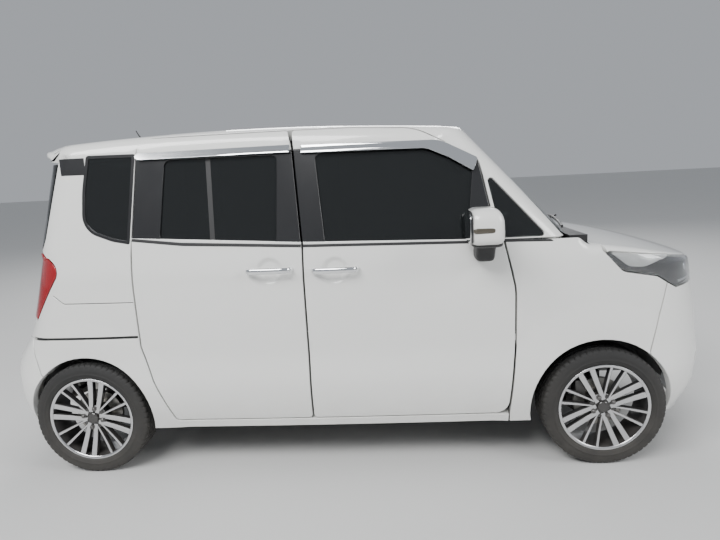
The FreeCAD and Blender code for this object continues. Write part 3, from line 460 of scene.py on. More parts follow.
def drawn(surface, rows, step=0.012):
    """An outline in (u, v) from rows (view, a, b, radius). Rows in one view keep straight edges in it."""
    runs, current = [], []
    for row in rows:
        if current and current[-1][0] != row[0]:
            runs.append(current)
            current = []
        current.append(row)
    runs.append(current)
    if len(runs) > 1 and runs[0][0][0] == runs[-1][0][0]:
        runs[0] = runs.pop() + runs[0]
    out = []
    for run in runs:
        points = np.array([[r[1], r[2]] for r in run])
        radii = [r[3] for r in run]
        if len(runs) == 1:
            flat = filled(rounded(points, radii, step), step)
        else:
            radii[0] = radii[-1] = 0
            flat = rounded(points, radii, step)
            gaps = np.linalg.norm(np.diff(flat, axis=0), axis=1)
            parts = [flat[k] + (flat[k + 1] - flat[k]) * (np.arange(n) / n)[:, None]
                     for k, n in enumerate(np.maximum(1, (gaps / step).astype(int)))]
            flat = np.concatenate(parts + [flat[-1:]])
        out.append(locate(surface, run[0][0], flat))
    return filled(np.concatenate(out), step * 1.5)


handle_uv = locate(side_skin, "side", np.array([[-0.05, 1.008]]))
print("skin point of a door handle", np.round(handle_uv, 3).tolist())

# %% [markdown]
# Seams, mouldings and glass edges are an outline moved outwards or inwards.

# %% Moving outlines
def area_of(loop):
    """Signed area of a closed outline."""
    x, y = loop[:, 0], loop[:, 1]
    return 0.5 * np.sum(x * np.roll(y, -1) - np.roll(x, -1) * y)


def outward(loop):
    """Unit normals of an outline in its own plane, away from what it encloses."""
    ahead = np.roll(loop, -1, 0) - loop
    ahead /= np.maximum(np.linalg.norm(ahead, axis=1, keepdims=True), 1e-9)
    behind = np.roll(ahead, 1, 0)
    tangent = ahead + behind
    tangent /= np.maximum(np.linalg.norm(tangent, axis=1, keepdims=True), 1e-9)
    normal = np.stack([tangent[:, 1], -tangent[:, 0]], -1)
    return normal if area_of(loop) > 0 else -normal


def grown(loop, distance):
    """An outline moved outwards, with points that crowd together after the move taken out."""
    moved = loop + outward(loop) * distance
    keep = np.linalg.norm(moved - np.roll(moved, 1, 0), axis=1) > 0.001
    along = ((moved - np.roll(moved, 1, 0)) * (loop - np.roll(loop, 1, 0))).sum(1) > 0
    return moved[keep & along]


def inside(points, loop):
    """Which points an outline encloses, by counting the edges that a ray crosses."""
    x, y = points[:, 0][:, None], points[:, 1][:, None]
    ax, ay = loop[:, 0][None], loop[:, 1][None]
    bx, by = np.roll(loop[:, 0], -1)[None], np.roll(loop[:, 1], -1)[None]
    cross = ((ay > y) != (by > y)) & (x < (bx - ax) * (y - ay) / np.where(by == ay, 1e-12, by - ay) + ax)
    return cross.sum(1) % 2 == 1


print("area of a unit square", area_of(np.array(square, float)))

# %% [markdown]
# A Delaunay triangulation keeps the outline's edges. Triangles outside it are dropped.

# %% Filling an outline
def fill_triangles(outer, holes, grid, extra=None):
    """Triangles over an outline with holes, with a regular grid of points inside and extra ones."""
    loops = [outer] + list(holes)
    edge_points = np.concatenate(loops)
    low, high = outer.min(0), outer.max(0)
    xs = np.arange(low[0] + grid / 2, high[0], grid)
    ys = np.arange(low[1] + grid / 2, high[1], grid)
    mesh = np.stack(np.meshgrid(xs, ys), -1).reshape(-1, 2)
    mesh = mesh[inside(mesh, outer)]
    for hole in holes:
        mesh = mesh[~inside(mesh, hole)]
    if len(mesh):
        near = np.full(len(mesh), 9.0)
        for part in np.array_split(edge_points, max(1, len(edge_points) // 200)):
            near = np.minimum(near, np.linalg.norm(mesh[:, None] - part[None], axis=2).min(1))
        mesh = mesh[near > 0.45 * grid]
    if extra is not None:
        near = np.linalg.norm(mesh[:, None] - extra[None], axis=2).min(1)
        mesh = np.concatenate([mesh[near > 0.004], extra])
    points = np.concatenate([edge_points, mesh])
    edges, start = [], 0
    for loop in loops:
        index = np.arange(len(loop)) + start
        edges += list(zip(index.tolist(), np.roll(index, -1).tolist()))
        start += len(loop)
    coords, _, faces, origin, _, _ = delaunay_2d_cdt([Vector(p) for p in points], edges, [], 0, 1e-7)
    coords = np.array([[c.x, c.y] for c in coords])
    faces = np.array([f for f in faces if len(f) == 3])
    middle = coords[faces].mean(1)
    keep = inside(middle, outer)
    for hole in holes:
        keep &= ~inside(middle, hole)
    faces = faces[keep]
    spin = np.cross(coords[faces[:, 1]] - coords[faces[:, 0]], coords[faces[:, 2]] - coords[faces[:, 0]])
    faces = np.where((spin < 0)[:, None], faces[:, ::-1], faces)
    where = np.zeros(len(points), int)
    for new, olds in enumerate(origin):
        for old in olds:
            where[old] = new
    return coords, faces, where


print("triangles in a unit square", len(fill_triangles(np.array(square, float), [], 0.3)[1]))

# %% [markdown]
# ## One builder for every panel
# A sheet's rim is folded over, not sharp. The builder gives the outline a
# quarter circle of two or three millimetres, a wall as deep as the real panel, and an inner skin,
# so that a door looks right when it stands open. Shading normals come from the exact surface.

# %% Panel builder
ROLL_STEPS = 3


def panel(surface, outer, holes=(), depth=0.03, roll=0.003, grid=0.03, sink=0.0, extra=None):
    """Points, triangles and corner normals of one panel.

    Skin point = surface(u, v) - sink * normal. Rim circle = inset point + roll * (sin a * outward
    - (1 - cos a) * normal). The inner skin lies at depth under the outer one."""
    loops = [outer] + list(holes)
    ways = [outward(outer)] + [-outward(h) for h in holes]
    inset = [loop - way * roll for loop, way in zip(loops, ways)]
    coords, faces, where = fill_triangles(inset[0], inset[1:], grid, extra)
    p = surface(coords[:, 0], coords[:, 1])
    n = slopes_of(surface, coords[:, 0], coords[:, 1])
    p = p - sink * n
    count = len(p)
    points = [p, p - n * depth]
    tris = [faces, faces[:, ::-1] + count]
    normals = [n[faces], -n[faces[:, ::-1]]]
    base = 2 * count
    start = 0
    for loop, way in zip(loops, ways):
        index = where[start : start + len(loop)]
        start += len(loop)
        pin, nin = p[index], n[index]
        out = surface(*loop.T) - surface(*(loop - way * roll).T)
        out -= (out * nin).sum(-1, keepdims=True) * nin
        out /= np.maximum(np.linalg.norm(out, axis=1, keepdims=True), 1e-9)
        rings, ring_normals, ids = [pin], [nin], [index]
        for k in range(1, ROLL_STEPS + 1):
            a = math.pi / 2 * k / ROLL_STEPS
            rings.append(pin + roll * (math.sin(a) * out - (1 - math.cos(a)) * nin))
            ring_normals.append(math.cos(a) * nin + math.sin(a) * out)
        rings.append(pin + roll * out - depth * nin)
        ring_normals.append(out)
        for ring in rings[1:]:
            points.append(ring)
            ids.append(np.arange(len(ring)) + base)
            base += len(ring)
        turn = area_of(coords[index])
        for k in range(len(rings)):
            if k + 1 < len(rings):
                a, b, na, nb = ids[k], ids[k + 1], ring_normals[k], ring_normals[k + 1]
            else:
                a, b, na, nb = ids[k], index + count, -nin, -nin
            a2, b2, na2, nb2 = (np.roll(q, -1, 0) for q in (a, b, na, nb))
            one = np.stack([a, b, a2], 1), np.stack([na, nb, na2], 1)
            two = np.stack([a2, b, b2], 1), np.stack([na2, nb, nb2], 1)
            for f, m in (one, two):
                if (turn < 0) == (way is ways[0]):
                    f, m = f[:, ::-1], m[:, ::-1]
                tris.append(f)
                normals.append(m)
    return np.concatenate(points), np.concatenate(tris), np.concatenate(normals)


def mirrored_arrays(arrays):
    """The same panel on the car's other side, turned so that it still faces outwards."""
    points, tris, normals = arrays
    flip = np.array([1.0, -1.0, 1.0])
    return points * flip, tris[:, ::-1], (normals * flip)[:, ::-1]


print("rim steps", ROLL_STEPS, "of", 90 // ROLL_STEPS, "degrees")

# %% [markdown]
# Every mesh is placed at the origin. It gets its material, the solids that it stands for and
# the body it rides on.

# %% Placing and finishing a piece
def linked(name, data):
    """A new object in the scene."""
    obj = bpy.data.objects.new(name, data)
    bpy.context.scene.collection.objects.link(obj)
    return obj


def place(name, points, triangles, corner_normals=None):
    """A mesh object at the origin from whole arrays of points and triangles."""
    triangles = np.asarray(triangles, int)
    whole = (triangles != np.roll(triangles, 1, 1)).all(1)
    triangles = triangles[whole]
    if corner_normals is not None:
        corner_normals = corner_normals[whole]
    mesh = bpy.data.meshes.new(name)
    mesh.from_pydata(np.asarray(points, float).tolist(), [], triangles.tolist())
    mesh.polygons.foreach_set("use_smooth", np.full(len(mesh.polygons), True))
    if corner_normals is not None:
        mesh.normals_split_custom_set(corner_normals.reshape(-1, 3).tolist())
    mesh.update()
    return linked(name, mesh)


def finished(obj, material, body, nodes):
    """A placed mesh with its material, the solids it replaces and its body."""
    obj.data.materials.append(material)
    if nodes:
        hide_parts(*nodes)
    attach(obj, body)
    return obj


DRESSED = {}


def dress(name, arrays, material, body="chassis", nodes=()):
    """A finished piece: its mesh, its material, the body it rides on and the solids it stands for.

    A solid of the frame may have the name already. The piece is then called its skin."""
    taken = name in bpy.data.objects
    obj = place(name + "_skin" if taken else name, *arrays)
    DRESSED[name] = finished(obj, material, body, nodes)
    return obj


# %% [markdown]
# ## Finishes
# Each finish is one Principled surface. What makes it look real is in two shared groups. One
# gives uneven gloss and the dust that a car gathers low down. The other gives a fine ripple,
# orange peel in paint, grain in plastic. They read object coordinates in metres.

# %% Shared shader groups
def group(name, inputs, outputs):
    """An empty shader group with named float, colour or vector sockets."""
    tree = bpy.data.node_groups.new(name, "ShaderNodeTree")
    for direction, sockets in (("INPUT", inputs), ("OUTPUT", outputs)):
        for label, kind, value in sockets:
            socket = tree.interface.new_socket(label, in_out=direction, socket_type=kind)
            if value is not None:
                socket.default_value = value
    return tree, tree.nodes.new("NodeGroupInput"), tree.nodes.new("NodeGroupOutput")


def add(tree, kind, values=(), **settings):
    """A node with its settings and constant socket values."""
    node = tree.nodes.new(kind)
    for key, value in settings.items():
        setattr(node, key, value)
    for key, value in dict(values).items():
        node.inputs[key].default_value = value
    return node


def wire(tree, *links):
    """Links between nodes, each given as node, output, node, input."""
    for source, output, target, socket in links:
        tree.links.new(source.outputs[output], target.inputs[socket])


def wear_group():
    """Mask of road dust: more below the sills, broken up by noise. Gloss change: large soft noise."""
    tree, given, out = group("wear", [("Low", "NodeSocketFloat", 0.2), ("High", "NodeSocketFloat", 0.6)],
                             [("Dust", "NodeSocketFloat", None), ("Cloud", "NodeSocketFloat", None)])
    where = add(tree, "ShaderNodeTexCoord")
    split = add(tree, "ShaderNodeSeparateXYZ")
    ramp = add(tree, "ShaderNodeMapRange", {3: 1.0, 4: 0.0}, clamp=True)
    fine = add(tree, "ShaderNodeTexNoise", {"Scale": 9.0, "Detail": 6.0, "Roughness": 0.62})
    soft = add(tree, "ShaderNodeTexNoise", {"Scale": 2.3, "Detail": 3.0})
    product = add(tree, "ShaderNodeMath", operation="MULTIPLY")
    wire(tree, (where, "Object", split, 0), (split, "Z", ramp, 0), (given, "Low", ramp, 1),
         (given, "High", ramp, 2), (where, "Object", fine, "Vector"), (where, "Object", soft, "Vector"),
         (ramp, 0, product, 0), (fine, 0, product, 1), (product, 0, out, "Dust"), (soft, 0, out, "Cloud"))
    return tree


def ripple_group():
    """Normal of a fine noise relief, height = depth * noise(position * scale)."""
    given = [("Scale", "NodeSocketFloat", 400.0), ("Depth", "NodeSocketFloat", 0.0002)]
    tree, given, out = group("ripple", given,
                             [("Normal", "NodeSocketVector", None), ("Height", "NodeSocketFloat", None)])
    where = add(tree, "ShaderNodeTexCoord")
    noise = add(tree, "ShaderNodeTexNoise", {"Detail": 2.0})
    bump = add(tree, "ShaderNodeBump", {"Strength": 1.0})
    wire(tree, (where, "Object", noise, "Vector"), (given, "Scale", noise, "Scale"),
         (noise, 0, bump, "Height"), (given, "Depth", bump, "Distance"), (bump, "Normal", out, "Normal"),
         (noise, 0, out, "Height"))
    return tree


WEAR, RIPPLE = wear_group(), ripple_group()
print("shader groups", [tree.name for tree in (WEAR, RIPPLE)])

# %% [markdown]
# A finish is one call with a colour, a roughness and what sets it apart.

# %% One finish
DUST_COLOUR = (0.3, 0.27, 0.23, 1)
DUST_LOW = 0.1
COAT_ROUGHNESS = 0.03


def finish_of(name, colour, rough, metal=0.0, coat=0.0, dust=0.0, dust_high=0.6, ripple=(400.0, 0.0),
              cloud=0.06, values=()):
    """One Principled material: colour with dust mixed in, gloss varied by the cloud, fine relief."""
    material = bpy.data.materials.new(name)
    material.use_nodes = True
    tree = material.node_tree
    shade = tree.nodes["Principled BSDF"]
    coating = {"Metallic": metal, "Coat Weight": coat, "Coat Roughness": COAT_ROUGHNESS}
    for key, value in {**coating, **dict(values)}.items():
        shade.inputs[key].default_value = value
    wear = add(tree, "ShaderNodeGroup", {"Low": DUST_LOW, "High": dust_high}, node_tree=WEAR)
    mix = add(tree, "ShaderNodeMix", {6: (*colour, 1), 7: DUST_COLOUR}, data_type="RGBA")
    amount = add(tree, "ShaderNodeMath", {1: dust}, operation="MULTIPLY")
    gloss = add(tree, "ShaderNodeMapRange", {1: 0.3, 2: 0.7, 3: max(rough - cloud, 0.01), 4: rough + cloud})
    wire(tree, (wear, "Dust", amount, 0), (amount, 0, mix, 0), (mix, 2, shade, "Base Color"),
         (wear, "Cloud", gloss, 0), (gloss, 0, shade, "Roughness"))
    if ripple[1]:
        relief = add(tree, "ShaderNodeGroup", {"Scale": ripple[0], "Depth": ripple[1]}, node_tree=RIPPLE)
        wire(tree, (relief, "Normal", shade, "Normal"))
    return material


print("dust begins to fade", DUST_LOW, "m above the ground")

# %% [markdown]
# The photograph shows white paint, dark tinted glass, bright strips and black trim. The finishes
# of the underside and the cabin are typical ones.

# %% The car's finishes
PAINT = finish_of("white paint", (0.8, 0.8, 0.775), 0.32, coat=1.0, dust=0.35, dust_high=0.5, cloud=0.04)
GLOSS_BLACK = finish_of("gloss black", (0.012, 0.012, 0.013), 0.22, coat=0.8, dust=0.2)
TRIM = finish_of("black trim", (0.02, 0.02, 0.021), 0.48, ripple=(900.0, 0.00025), dust=0.4)
MESH = finish_of("grille plastic", (0.01, 0.01, 0.011), 0.42, dust=0.3)
CHROME = finish_of("bright trim", (0.86, 0.87, 0.88), 0.09, metal=1.0, cloud=0.03)
GLASS_DARK = finish_of("dark tinted glass", (0.022, 0.025, 0.026), 0.02, cloud=0.01,
                       values={"Transmission Weight": 0.55, "IOR": 1.45})
GLASS_LIGHT = finish_of("windscreen glass", (0.42, 0.46, 0.45), 0.02, cloud=0.01,
                        values={"Transmission Weight": 0.92, "IOR": 1.45})
GLASS_CLEAR = finish_of("clear lens", (0.93, 0.94, 0.95), 0.02, cloud=0.01,
                        values={"Transmission Weight": 0.96, "IOR": 1.45})
RED = finish_of("red lens", (0.42, 0.006, 0.012), 0.1, coat=0.6, values={"Transmission Weight": 0.35})
SMOKED = finish_of("smoked lens", (0.075, 0.066, 0.05), 0.14, coat=0.6)
PLATE = finish_of("blank plate", (0.72, 0.73, 0.72), 0.4, coat=0.2, dust=0.2)
MACHINED = finish_of("machined alloy", (0.66, 0.66, 0.67), 0.26, metal=1.0, coat=0.5, dust=0.2)
ALLOY_DARK = finish_of("dark alloy", (0.035, 0.036, 0.04), 0.34, metal=0.4, coat=0.6, dust=0.35)
RUBBER = finish_of("tyre rubber", (0.014, 0.014, 0.014), 0.72, dust=0.2, ripple=(700.0, 0.0003))
CAST = finish_of("cast iron", (0.16, 0.155, 0.15), 0.45, metal=0.8, ripple=(600.0, 0.0002))
UNDER = finish_of("underbody coat", (0.045, 0.045, 0.047), 0.6, dust=0.5, ripple=(250.0, 0.0006))
CABIN = finish_of("cabin plastic", (0.04, 0.038, 0.036), 0.55, ripple=(1200.0, 0.0003))
HEADLINING = finish_of("headlining", (0.33, 0.32, 0.3), 0.85, ripple=(900.0, 0.0004))
CLOTH = finish_of("seat cloth", (0.05, 0.046, 0.043), 0.88, ripple=(1500.0, 0.0006))
STEEL = finish_of("worn steel", (0.38, 0.37, 0.35), 0.38, metal=1.0, dust=0.3)
ENGINE = finish_of("engine castings", (0.3, 0.3, 0.3), 0.5, metal=0.7, ripple=(300.0, 0.0005))
MIRROR = finish_of("mirror", (0.9, 0.9, 0.9), 0.01, metal=1.0, cloud=0.005)
LAMP_INSIDE = finish_of("lamp reflector", (0.8, 0.81, 0.83), 0.16, metal=0.9)
print("finishes", len(bpy.data.materials))

# %% [markdown]
# ## Doors
# Each door is a painted lower panel, a black frame round its glass and a painted header. The real
# frame is rolled from one sheet and the colour change sits under the belt strip and the visor,
# so here the three pieces meet under those strips as well.

# %% Door outlines in the side view
def rows_in(view, table):
    """Rows of one view from bare (a, b, radius) corners."""
    return [(view, *corner) for corner in table]


def side_rows(table):
    """Rows of a side view from bare (x, z, radius) corners."""
    return rows_in("side", table)


FRONT_DOOR = ((-0.196, 0.268, 0.015), (0.742, 0.268, 0.07), (0.776, 0.6, 0.5), (0.776, 0.88, 0.3),
              (0.728, 1.098, 0.01), (0.708, 1.116, 0.0), (-0.196, 1.14, 0.0), (-0.196, 1.11, 0.0))
FRONT_FRAME = ((-0.1965, 1.118, 0.0), (-0.2265, 1.566, 0.0), (0.5, 1.56, 0.12), (0.618, 1.49, 0.02),
               (0.6265, 1.474, 0.0), (0.702, 1.104, 0.01))
FRONT_HEADER = ((-0.2255, 1.567, 0.0), (-0.232, 1.655, 0.01), (0.05, 1.653, 1.0), (0.34, 1.636, 0.26),
                (0.622, 1.49, 0.01), (0.5, 1.562, 0.12))
FRONT_WINDOW = ((-0.092, 1.126, 0.025), (-0.128, 1.545, 0.035), (0.455, 1.545, 0.09), (0.6, 1.44, 0.025),
                (0.563, 1.108, 0.025))
REAR_DOOR = ((-0.205, 0.268, 0.015), (-0.205, 1.14, 0.0), (-1.0255, 1.19, 0.0), (-1.026, 1.11, 0.2),
             (-1.026, 0.66, 0.12), (-0.975, 0.48, 0.3), (-0.888, 0.268, 0.03))
REAR_FRAME = ((-0.2055, 1.118, 0.0), (-0.2355, 1.566, 0.0), (-0.988, 1.578, 0.0), (-1.0215, 1.172, 0.0))
REAR_HEADER = ((-0.236, 1.567, 0.0), (-0.252, 1.655, 0.01), (-0.979, 1.655, 0.02), (-0.988, 1.579, 0.0))
REAR_WINDOW = ((-0.322, 1.137, 0.025), (-0.886, 1.166, 0.03), (-0.85, 1.55, 0.035), (-0.306, 1.545, 0.025))
print("front door from", FRONT_DOOR[0][0], "to", FRONT_DOOR[2][0], "rear door to", REAR_DOOR[3][0])

# %% [markdown]
# Most pieces come in pairs. The left one mirrors the right one and rides on its own body.

# %% Pairs of pieces
FIXED = ("chassis", "chassis")


def pair(name, arrays, material, bodies=FIXED, nodes=()):
    """The same piece on the right and, mirrored, on the left."""
    made = []
    for side, body, data in zip(("right", "left"), bodies, (arrays, mirrored_arrays(arrays))):
        names = [n + "_" + side for n in nodes]
        made.append(dress(name + "_" + side, data, material, body, names))
    return made


def side_panel(table, holes=(), **shape):
    """A panel of the side from bare side-view corners."""
    skin = shape.pop("skin", side_skin)
    outer, *inner = (drawn(skin, side_rows(corners)) for corners in (table, *holes))
    return panel(skin, outer, inner, **shape)


print("a fixed pair rides on", FIXED)

# %% [markdown]
# Behind each handle is a round dish for the fingers, with rings of extra points for its slope.

# %% Handle dishes
FRONT_BODIES = ("front_door_right", "front_door_left")
REAR_BODIES = ("chassis", "rear_door_left")
HANDLE_START = {"front": (-0.158, 1.008), "rear": (-0.468, 1.016)}
HANDLE_LENGTH = 0.216
DISH_RADIUS, DISH_DEPTH, DISH_SLOPE, DISH_BELOW = 0.068, 0.013, 2.2, 0.004
DISHES = [(start + HANDLE_LENGTH / 2, z - DISH_BELOW) for start, z in HANDLE_START.values()]


def door_skin(u, v):
    """The side with a round dish behind each handle.

    Depth * s(slope * (1 - r)), with s(t) = t^2 (3 - 2 t) and r measured in radii."""
    p = side_skin(u, v)
    for x, z in DISHES:
        r = np.hypot(p[..., 0] - x, p[..., 2] - z) / DISH_RADIUS
        t = np.clip(DISH_SLOPE * (1 - r), 0, 1)
        p[..., 1] += DISH_DEPTH * t * t * (3 - 2 * t)
    return p


ring_angle = np.linspace(0, 2 * math.pi, 40, endpoint=False)
ring_radius = np.linspace(0.1, 1.05, 12)[:, None] * DISH_RADIUS
dish_rings = np.stack([ring_radius * np.cos(ring_angle), ring_radius * np.sin(ring_angle)], -1).reshape(-1, 2)
DISH_POINTS = [np.array([x, z]) + dish_rings for x, z in DISHES]
print("dishes at", DISHES)

# %% [markdown]
# Both doors are built alike. The pane sits 10 mm under the skin and reaches under the frame.

# %% Doors on both sides
DOOR_DEPTH, FRAME_DEPTH, FRAME_SINK = 0.034, 0.038, 0.0005
PANE = {"depth": 0.004, "roll": 0.001, "sink": 0.01}
DOORS = (("front", FRONT_BODIES, FRONT_DOOR, FRONT_HEADER, FRONT_FRAME, FRONT_WINDOW, DISH_POINTS[0]),
         ("rear", REAR_BODIES, REAR_DOOR, REAR_HEADER, REAR_FRAME, REAR_WINDOW, DISH_POINTS[1]))
for end, bodies, door, header, surround, window, dish in DOORS:
    pair(end + "_door_panel", side_panel(door, depth=DOOR_DEPTH, skin=door_skin, extra=dish), PAINT, bodies,
         ["door_" + end])
    pair(end + "_door_header", side_panel(header, depth=DOOR_DEPTH), PAINT, bodies, ())
    pair(end + "_door_frame", side_panel(surround, [window], depth=FRAME_DEPTH, sink=FRAME_SINK), GLOSS_BLACK,
         bodies, ())
for end, bodies, _, _, _, window, _ in DOORS:
    pane = panel(side_skin, grown(drawn(side_skin, side_rows(window)), 0.004), **PANE)
    pair(end + "_door_glass", pane, GLASS_DARK, bodies, ["door_glass_" + end])

# %% [markdown]
# ## Body sides, wings and roof
# The side is one large pressing. It holds the sill, the rear quarter, the roof rail and the
# windscreen pillar, and it runs round both door openings. The outline therefore goes once round
# the outside and comes back along the doors. The front wing and the roof are separate pressings.

# %% Outline of the body side
TAIL_FROM = -0.4


def whole_side(u, v):
    """The side skin with the tail's own corner behind the middle of the car."""
    u, v = np.broadcast_arrays(np.asarray(u, float), np.asarray(v, float))
    tail, side = tail_skin(np.minimum(u, TAIL_FROM), v), side_skin(np.maximum(u, TAIL_FROM), v)
    return np.where((u < TAIL_FROM)[..., None], tail, side)


def arch_rows(centre, radius, start, stop, steps=22):
    """Side-view rows along a wheel arch between two angles in degrees."""
    angles = np.radians(np.linspace(start, stop, steps))
    return [("side", centre + radius * math.cos(a), AXLE_HEIGHT + radius * math.sin(a), 0) for a in angles]


SILL_LOW = 0.222
BODY_SIDE = (
    side_rows(((0.7475, SILL_LOW, 0), (-1.0145, SILL_LOW, 0)))
    + arch_rows(AXLE_REAR, REAR_ARCH, -11, 134)
    + side_rows(((-1.559, 0.524, 0.02), (-1.604, 0.706, 0)))
    + rows_in("rear", ((-0.597, 0.712, 0.004), (-0.597, 0.822, 0.004)))
    + side_rows(((-1.566, 0.794, 0.02), (-1.386, 1.053, 0.06), (-1.507, 1.139, 0.01), (-1.476, 1.2, 0.06),
                 (-1.386, 1.58, 0.06), (-1.39, 1.62, 0)))
    + rows_in("top", ((-1.396, -0.578, 0), (0.4, -0.578, 0), (0.47, -0.5706, 0), (0.54, -0.5632, 0)))
    + rows_in("front", ((-0.557, 1.606, 0.01), (-0.712, 1.112, 0.02)))
    + side_rows(((0.706, 1.112, 0.01), (0.632, 1.48, 0.06), (0.342, 1.642, 0.26), (0.05, 1.658, 1.0),
                 (-0.985, 1.659, 0.09), (-1.0335, 1.11, 0.4), (-1.0335, 0.66, 0.12), (-0.981, 0.478, 0.3),
                 (-0.893, 0.262, 0.03), (0.7475, 0.262, 0))))
QUARTER_WINDOW = ((-1.0375, 1.164, 0.004), (-1.12, 1.18, 0.2), (-1.268, 1.236, 0.13), (-1.262, 1.42, 0.5),
                  (-1.238, 1.586, 0.012), (-0.998, 1.582, 0.004))
TRIANGLE = ((0.722, 1.118, 0.02), (0.655, 1.43, 0.015), (0.932, 1.118, 0.015))
RAIL_SLOT = ((-1.6, 0.7, 0.002), (-1.0335, 0.7, 0.002), (-1.0335, 0.713, 0.002), (-1.6, 0.713, 0.002))
QUARTER_SEAM = ((-1.44, 0.929, 0), (-1.39, 0.8855, 0.02), (-1.0345, 0.883, 0), (-1.0345, 0.879, 0),
                (-1.392, 0.8815, 0.02), (-1.443, 0.9255, 0))
side_outline = drawn(whole_side, BODY_SIDE)
print("body side outline", len(side_outline), "points")

# %% [markdown]
# The pressing has four holes: two windows, the slot of the sliding door's rail and a seam.

# %% Body side
side_holes = [drawn(whole_side, side_rows(table), 0.006)
              for table in (QUARTER_WINDOW, TRIANGLE, RAIL_SLOT, QUARTER_SEAM)]
PRESSING_ROLL, SIDE_DEPTH, WING_DEPTH, ROOF_DEPTH = 0.0025, 0.06, 0.03, 0.028
body_side_arrays = panel(whole_side, side_outline, side_holes, depth=SIDE_DEPTH, roll=PRESSING_ROLL)
pair("body_side", body_side_arrays, PAINT, FIXED, ["body_side"])
print("body side", len(body_side_arrays[1]), "triangles")

# %% [markdown]
# The wing follows the nose, and beside the screen it changes softly into the upright wall.

# %% Front wing and fixed side windows
WING_START, WING_BLEND = 1.06, 0.065


def wing_skin(u, v):
    """The nose skin, but an upright wall beside the screen: s * nose + (1 - s) * wall.

    The share s = t^2 (3 - 2 t), and t goes from 0 to 1 over the blend's length."""
    t = np.clip((np.asarray(u, float) - WING_START) / WING_BLEND, 0, 1)[..., None]
    s = t * t * (3 - 2 * t)
    return s * nose_skin(u, v) + (1 - s) * wall(u, v, 1)


FENDER = (
    side_rows(((0.7535, SILL_LOW, 0), (0.7535, 0.275, 0), (0.785, 0.6, 0.5), (0.785, 0.88, 0.3),
               (0.737, 1.098, 0.02), (0.742, 1.1045, 0)))
    + rows_in("skin", ((WING_START, 1.1045, 0), (1.128, 1.0995, 0.004), (1.165, 1.097, 0)))
    + side_rows(((1.172, 1.04, 0.004), (1.263, 0.939, 0.05), (1.42, 0.91, 0.05), (1.472, 0.878, 0),
                 (1.3955, 0.56, 0.02)))
    + arch_rows(FRONT_ARCH_X, FRONT_ARCH, 50, 191))
fender_arrays = panel(wing_skin, drawn(wing_skin, FENDER), depth=WING_DEPTH, roll=PRESSING_ROLL)
pair("fender", fender_arrays, PAINT, FIXED, ["fender"])
for name, hole in (("quarter_glass", side_holes[0]), ("triangle_glass", side_holes[1])):
    pair(name, panel(whole_side, grown(hole, -0.005), depth=0.005, roll=0.001, sink=0.003),
         GLASS_DARK)

# %% [markdown]
# At the front the roof bends down on to the bowed plane of the windscreen. The bend is a
# softened minimum of the two heights.

# %% Roof
BEND = 0.0105


def screen_x(y, z):
    """Where the windscreen's curved plane is, at a height: foot - lean * rise - bow."""
    return SCREEN_FOOT - SCREEN_LEAN * (z - BELT) - (SCREEN_BOW - np.sqrt(SCREEN_BOW**2 - y**2))


def roof_shell(x, y):
    """The roof, bent down at the front on to the screen: z = softened minimum of both heights."""
    x, y = np.broadcast_arrays(np.asarray(x, float), np.asarray(y, float))
    top = roof_top(x, y)
    screen = BELT + (SCREEN_FOOT - (SCREEN_BOW - np.sqrt(SCREEN_BOW**2 - y**2)) - x) / SCREEN_LEAN
    return np.stack([x, y, 0.5 * (top + screen - np.sqrt((top - screen) ** 2 + BEND**2))], -1)


def both_sides(right):
    """A plan outline from its right half, closed by the mirrored left half."""
    right = np.asarray(right, float)
    return np.concatenate([right, right[::-1] * [1, -1]])


across = np.linspace(-0.5525, 0.0, 16)[:-1]
header = np.stack([screen_x(across, 1.607), across], -1)
roof_outline = filled(both_sides(np.concatenate([[[-1.388, -1e-4], [-1.388, -0.56], [-1.376, -0.572],
                                                  [0.4, -0.572]], header])), 0.015)
dress("roof", panel(roof_shell, roof_outline, depth=ROOF_DEPTH, roll=PRESSING_ROLL, grid=0.045), PAINT,
      "chassis", ["roof_panel"])

# %% [markdown]
# ## Pieces that cross the middle of the car
# The bumpers, the windscreen and the tailgate run from one side to the other. Only the right
# half is drawn. The left half is its mirror in the unrolled band: at each height the band's
# middle is known, so u becomes twice the middle minus u.

# %% Outlines across the middle
def middle_u(z, end_sign, house):
    """The band parameter of the car's middle line: where the side ends + corner arc + end arc."""
    _, touch_x, corner, end = plan_arcs(z, house, end_sign)
    return touch_x + end_sign * (corner[-1] + end[1] * end[2])


def span(surface, rows, end_sign, step=0.012):
    """A closed outline across the middle, from rows of its right half that start and end there."""
    half = drawn(surface, rows, step)
    off = np.abs(surface(half[:, 0], half[:, 1])[:, 1]) > 0.006
    half = np.roll(half, -int(np.argmax(off & ~np.roll(off, 1))), 0)[: off.sum()]
    z = half[:, 1]
    total = np.where(z > BELT, middle_u(np.maximum(z, BELT), end_sign, True),
                     middle_u(np.minimum(z, BELT), end_sign, False))
    other = np.stack([2 * total - half[:, 0], z], -1)[::-1]
    return filled(np.concatenate([half, other]), step * 1.5)


def nose_wall(u, v):
    """The wall of the nose without the rolled edge."""
    return wall(u, v, 1)


def tail_wall(u, v):
    """The wall of the tail without the rolled edge."""
    return wall(u, v, -1)


def slot_rows(view, half, low, high, radius):
    """The right half of an upright rectangle with rounded corners, across the middle."""
    return rows_in(view, ((0.0, low, 0), (-half, low, radius), (-half, high, radius), (0.0, high, 0)))


print("middle of the nose at u", round(float(middle_u(np.array(0.6), 1, False)), 3))

# %% [markdown]
# The windscreen has a black printed band round its edge, which lies on its inner face.

